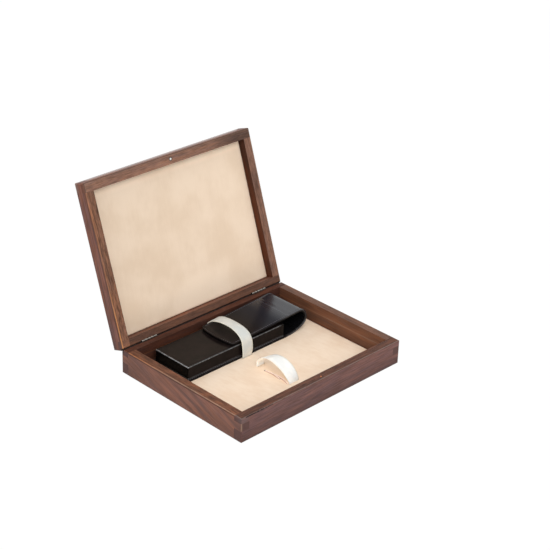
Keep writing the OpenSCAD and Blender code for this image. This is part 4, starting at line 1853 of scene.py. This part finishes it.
@dataclass
class PenPouch:
    """Black leather pouch: a moulded sleeve on a strip that folds over as its flap."""

    left: float = -79.5
    mouth: float = 52.0
    middle: float = 46.0
    sleeve_half: float = 24.5
    flange: float = 1.8
    bottom: float = 6.3
    sleeve_bottom: float = 7.7
    sleeve_top: float = 22.0
    sleeve_wall: float = 1.2
    sleeve_round: float = 1.2
    sweep_x: float = 60.0
    turn_x: float = 75.5
    turn_z: float = 19.9
    turn_r: float = 10.0
    split_x: float = 70.0
    crease_x: float = 64.0
    crease_top: float = 29.2
    crease_reach: float = 4.0
    crease_sink: float = 1.3
    ridge: float = 0.14
    ridge_width: float = 0.9
    flap_length: float = 86.0
    tip_top: float = 24.9
    tip_slope: float = 0.0381
    bend_x: float = 20.0
    bend_slope: float = 0.0233
    bend_soft: float = 12.0
    tip_r: float = 96.0
    corner_r: float = 4.0
    flap_half: float = 23.8
    flap_crown: float = 0.3
    crown_over: float = 25.0
    turn_extra: float = 0.4
    fold_half: float = 25.2
    strip_half: float = 26.3
    narrow_from: float = 53.0
    narrow_over: float = 20.0
    grid_step: float = 3.4
    line_in: float = 1.3
    line_depth: float = 0.14
    sag: float = 0.22
    sag_from: float = 4.0
    sag_over: float = 14.0
    stitch: float = 2.6
    stitch_inset: float = 1.5
    seam_depth: float = 0.16
    thread_sink: float = 0.1
    thread_lift: float = 0.02
    flange_seam_in: float = 0.55
    lining_in: float = 0.3

    # -- the strip's side view --

    def _sweep(self) -> Flat:
        """Fit the wide sweep off the lining to the tight turn.

        Returns:
            The sweep's radius, and its angle where the turn begins.
        """
        run, rise = self.turn_x - self.sweep_x, self.turn_z - self.bottom
        radius = (run**2 + rise**2 - self.turn_r**2) / (2 * (rise - self.turn_r))
        return radius, math.atan2(run, radius - rise)

    def _half_below(self, x: float) -> float:
        """Half width of the strip where it lies low."""
        share = smooth((x - self.narrow_from) / self.narrow_over)
        return self.strip_half - (self.strip_half - self.fold_half) * share

    def _on_sweep(self, start: float, end: float, steps: Sequence[float]) -> List[Station]:
        """Stations on the sweep.

        Args:
            start: Angle of the first.
            end: Angle of the last.
            steps: Shares of the way between them.

        Returns:
            The stations.
        """
        radius, _ = self._sweep()
        line = []
        for step in steps:
            angle = start + (end - start) * step
            out = (math.sin(angle), -math.cos(angle))
            x = self.sweep_x + radius * out[0]
            point = (x, self.bottom + radius + radius * out[1])
            line.append(Station(point, out, self._half_below(x)))
        return line

    def _split_angle(self) -> float:
        """Angle on the sweep where the strip's back ends and the flap's leather begins."""
        return math.asin((self.split_x - self.sweep_x) / self._sweep()[0])

    def _flap_top(self, x: float) -> float:
        """Height of the flap's face.

        Args:
            x: Place along the hinge line.

        Returns:
            The height.
        """
        past = x - self.bend_x
        bend = (past + math.sqrt(past**2 + self.bend_soft**2)) / 2
        ridge = self.ridge * bell(x - self.crease_x, self.ridge_width)
        rise = self.tip_slope * (x - self.crease_x + self.flap_length)
        return self.tip_top + rise + (self.bend_slope * bend + ridge)

    def _under_line(self, start: float) -> List[Station]:
        """The strip from under the sleeve up to the split.

        Args:
            start: Where it begins, along the hinge line.

        Returns:
            The stations.
        """
        flat = stations(start, self.sweep_x, 5.0)
        line = [Station((x, self.bottom), (0.0, -1.0), self._half_below(x)) for x in flat]
        return line + self._on_sweep(0.0, self._split_angle(), [i / 5 for i in range(1, 6)])

    def _fold_line(self) -> List[Station]:
        """The strip from the split, round the fold, to the crease.

        Returns:
            The stations.
        """
        end = self._sweep()[1]
        line = self._on_sweep(self._split_angle(), end, [i / 5 for i in range(5)])
        turn = end - math.pi / 2
        top_half = self.flap_half + self.turn_extra
        for step in range(23):
            share = step / 22
            angle = turn + (math.pi / 2 - turn) * share
            out = (math.cos(angle), math.sin(angle))
            point = (self.turn_x + self.turn_r * out[0], self.turn_z + self.turn_r * out[1])
            half = self.fold_half + (top_half - self.fold_half) * smooth(share)
            line.append(Station(point, out, half))
        top = self.turn_z + self.turn_r
        for x in stations(self.crease_x, self.turn_x, 0.9)[-2::-1]:
            share = (self.turn_x - x) / (self.turn_x - self.crease_x)
            z = top + (self._flap_top(self.crease_x) - top) * smooth(share)
            half = top_half + (self.flap_half - top_half) * share
            line.append(Station((x, z), (0.0, 1.0), half))
        return line

    def _tip_x(self, aside: float) -> float:
        """Find where the curved tip ends.

        Args:
            aside: Distance from the flap's middle line.

        Returns:
            The place along the hinge line.
        """
        tip = self.crease_x - self.flap_length
        tip += self.tip_r - math.sqrt(self.tip_r**2 - aside**2)
        short = self.corner_r - (self.flap_half - abs(aside))
        if short > 0:
            tip += self.corner_r - math.sqrt(max(self.corner_r**2 - short**2, 0.0))
        return tip

    # -- rows of points over the strip's width --

    def _across(self) -> List[float]:
        """Spread stations over the strip's width, close together at the edges.

        Returns:
            The stations, from -1 to 1.
        """
        edge = [0.0, 0.35, 0.8, 1.2, 1.5, 1.8, 2.3, 3.2, 4.4, 7.0, 11.0, 16.0]
        left = [place / self.flap_half - 1 for place in edge]
        return left + [0.0] + [-share for share in reversed(left)]

    def _sink(self, layer: Layer, inside: float) -> float:
        """How deep a layer's face lies: the outer one has the seam's groove near its edge."""
        groove = 0.0 if layer.depth else self.seam_depth * bell(inside - self.stitch_inset, 0.4)
        return layer.depth + groove

    def _row(self, station: Station, layer: Layer) -> List[Point]:
        """Draw a layer across the strip's width.

        Args:
            station: Where along the strip.
            layer: Which of its layers.

        Returns:
            The row's points.
        """
        (x, z), out, half = station
        row = []
        for share in self._across():
            sink = self._sink(layer, half * (1 - abs(share)))
            y = self.middle + share * (half - layer.inset)
            row.append((x - out[0] * sink, y, z - out[1] * sink))
        return row

    def _flap_rows(self, layer: Layer) -> List[List[Point]]:
        """Draw a layer of the flap, from just past the crease to the tip.

        Args:
            layer: Which of its layers.

        Returns:
            The rows of points.
        """
        half = self.flap_half
        steps = [smooth(i / 4) * 0.05 for i in range(1, 5)]
        steps += [0.05 + 0.95 * i / 34 for i in range(1, 34)] + [0.982, 0.994, 1.0]
        rows = []
        for step in steps:
            row = []
            for share in self._across():
                aside = share * half
                tip = self._tip_x(aside) + layer.inset
                x = self.crease_x - (self.crease_x - tip) * step
                sink = self._sink(layer, min(half - abs(aside), x - tip))
                past = smooth((self.crease_x - x) / self.crown_over)
                crown = self.flap_crown * (1 - share**2) * past
                y = self.middle + share * (half - layer.inset)
                row.append((x, y, self._flap_top(x) + crown - sink))
            rows.append(row)
        return rows

    # -- pieces --

    def _leather(self, name: str, node: str, rows: List[List[Point]], thickness: float) -> Piece:
        """Make one piece of the strip.

        Args:
            name: The piece's name.
            node: The CAD part that it stands for.
            rows: Points over its width, from row to row.
            thickness: Its thickness.

        Returns:
            The piece.
        """
        sheet = Sheet()
        sheet.grid(rows, flip=True)
        piece = sheet.build(name)
        thicken(piece, thickness)
        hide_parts(node)
        log.info("leather: %s", name)
        return piece

    def _under(self, name: str, node: str, layer: Layer, start: float) -> Piece:
        """Make the part of a layer that lies under the sleeve, up to the split.

        Args:
            name: The piece's name.
            node: The CAD part that it stands for.
            layer: Which layer.
            start: Where it begins, along the hinge line.

        Returns:
            The piece.
        """
        rows = [self._row(station, layer) for station in self._under_line(start)]
        piece = self._leather(name, node, rows, layer.thickness)
        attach(piece, "pouch")
        return piece

    def _over(self, name: str, node: str, layer: Layer) -> Piece:
        """Make the part of a layer that turns over the fold and lies as the flap.

        Args:
            name: The piece's name.
            node: The CAD part that it stands for.
            layer: Which layer.

        Returns:
            The piece.
        """
        rows = [self._row(station, layer) for station in self._fold_line()]
        piece = self._leather(name, node, rows + self._flap_rows(layer), layer.thickness)
        self._bend(piece)
        return piece

    def _bend(self, piece: Piece) -> None:
        """Bake a piece's placement into its mesh. The ends of a bend line across the crease are
        worked out but not used.

        Args:
            piece: The piece.
        """
        level = (self.crease_top - self.crease_sink) * MM
        start = ((self.crease_x + self.crease_reach) * MM, self.middle * MM, level)
        end = ((self.crease_x - self.crease_reach) * MM, self.middle * MM, level)
        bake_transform(piece)

    def _sleeve(self) -> Piece:
        """Make the moulded sleeve with its sewn-down flange.

        Returns:
            The sleeve.
        """
        edge = self.sleeve_round
        low_x = self.left + edge
        low_y = self.middle - self.sleeve_half + edge
        high_y = self.middle + self.sleeve_half - edge
        seam = [0.5, 0.9, 1.3, 1.7, 2.1, 2.6]
        xs = stations(low_x, self.mouth, self.grid_step, [low_x + s for s in seam])
        both = [low_y + s for s in seam] + [high_y - s for s in seam]
        ys = stations(low_y, high_y, self.grid_step, both)

        def height(x: float, y: float) -> float:
            """Height of the sleeve's top, with the pressed line inside its edges.

            Args:
                x: Place along the hinge line.
                y: Place from front to rear.

            Returns:
                The height.
            """
            inside = min(y - low_y, high_y - y, x - low_x)
            line = self.line_depth * bell(inside - self.line_in, 0.4)
            sag = self.sag * smooth((inside - self.sag_from) / self.sag_over)
            return self.sleeve_top - line - sag

        tall = self.sleeve_top - self.sleeve_bottom - self.sleeve_wall
        sides = [(-0.12, -3.6), (-0.22, -6.4), (-0.14, -9.4), (0.0, 0.9 - tall)]
        foot = [(0.16, 0.35 - tall), (0.5, 0.06 - tall), (0.8, -tall)]
        flange = [(self.flange - 0.1, -tall), (self.flange, -tall - 0.12)]
        profile = round_down(edge, 5) + [(edge + out, up) for out, up in sides + foot + flange]
        sheet = Wrap(xs, ys, height, profile, open_end=True).sheet(nothing)
        sleeve = sheet.build("moulded_sleeve")
        thicken(sleeve, self.sleeve_wall)
        soften(sleeve, 0.22)
        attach(sleeve, "pouch")
        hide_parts("pouch_sleeve")
        log.info("leather: moulded_sleeve")
        return sleeve

    def _sew(self, sheet: Sheet, line: Sequence[Tuple[Vector, Vector]]) -> None:
        """Sew along a line, one stitch to each stitch length.

        Args:
            sheet: Where the stitches go.
            line: Places, each with the way up.
        """
        due = self.stitch / 2
        for (first, up), (second, _) in zip(line, line[1:]):
            gap = (second - first).length
            if gap < 1e-6:
                continue
            along = (second - first) / gap
            upright = (up - along * up.dot(along)).normalized()
            side = upright.cross(along)
            while due <= gap:
                centre = first + along * due + upright * self.thread_lift
                sheet.closed(
                    [tube_ring(centre + along * at, side, upright, r, 6) for at, r in STITCH]
                )
                due += self.stitch
            due -= gap

    def _flap_seam(self) -> Piece:
        """Sew round the flap, from the fold along one edge, the tip and the other edge.

        Returns:
            The stitches.
        """
        sheet = Sheet()
        inset, sunk = self.stitch_inset, self.thread_sink
        aside = self.flap_half - inset
        for side in (-1, 1):
            line = []
            for (x, z), (out_x, out_z), half in self._fold_line():
                y = self.middle + side * (half - inset)
                spot = Vector((x - out_x * sunk, y, z - out_z * sunk))
                line.append((spot, Vector((out_x, 0.0, out_z))))
            y = self.middle + side * aside
            tip = self._tip_x(aside) + inset
            for x in stations(tip + 2, self.crease_x - 2, 4.0)[::-1]:
                line.append((Vector((x, y, self._flap_top(x) - sunk)), UPRIGHT))
            self._sew(sheet, line)
        reach = aside - 2.5
        tip_line = []
        for across in stations(-reach, reach, 3.0):
            x = self._tip_x(across) + inset
            z = self._flap_top(x) - sunk
            tip_line.append((Vector((x, self.middle + across, z)), UPRIGHT))
        self._sew(sheet, tip_line)
        seam = sheet.build("flap_stitching")
        self._bend(seam)
        return seam

    def _flange_seam(self) -> Piece:
        """Sew the flange down round three sides of the sleeve.

        Returns:
            The stitches.
        """
        out = self.flange - self.flange_seam_in
        level = self.sleeve_bottom + self.sleeve_wall
        near, far = (self.middle + side * (self.sleeve_half + out) for side in (-1, 1))
        left, right = self.left - out, self.mouth - 1
        corners = ((right, near), (left, near), (left, far), (right, far))
        sheet = Sheet()
        self._sew(sheet, [(Vector((x, y, level)), UPRIGHT) for x, y in corners])
        seam = sheet.build("flange_stitching")
        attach(seam, "pouch")
        return seam

    def build(self) -> None:
        """Make every leather piece and its stitches."""
        glazed = Leather(
            "glazed_leather", colour(27, 20, 19), colour(18, 14, 13), 0.35, 0.03, gloss=1.0
        ).material()
        plain = Leather(
            "lining_leather", colour(15, 14, 15), colour(9, 8, 9), 0.45, 0.05, gloss=0.3,
            far=colour(12, 12, 14),
        ).material()
        thread = Plain("black_thread", colour(88, 86, 90), colour(60, 58, 62), 0.3, 0.5).material()
        start = self.left - self.flange
        within = self.mouth + self.lining_in
        back = self._under("back_leather", "pouch_back_strip", OUTER, start)
        fold = self._under("fold_lining_leather", "pouch_fold_lining", INNER, within)
        flap = self._over("flap_leather", "pouch_flap", OUTER)
        under = self._over("flap_lining_leather", "pouch_flap_lining", INNER)
        sleeve = self._sleeve()
        for pieces, leather, slot in (
            ((back, flap, sleeve), glazed, "black_leather"),
            ((fold, under), plain, "black_lining_leather"),
            ((self._flap_seam(), self._flange_seam()), thread, "black_leather"),
        ):
            for piece in pieces:
                paint_piece(piece, leather)
        paint_node("pouch_divider", plain)
        log.info("stitches: flap and flange")


def corners(box: Sequence[Vector]) -> List[List[float]]:
    """Turn a box's two corners into plain lists."""
    return [[float(part) for part in corner] for corner in box]


def main() -> None:
    """Build the view, the studio and every part of the case."""
    logging.basicConfig(level=logging.INFO, format="%(name)s: %(message)s")
    Viewpoint().build()
    Studio().build()
    Woodwork().dress()
    Hardware().dress()
    Lining().build()
    build_bands()
    PenPouch().build()


if __name__ == "__main__":
    main()
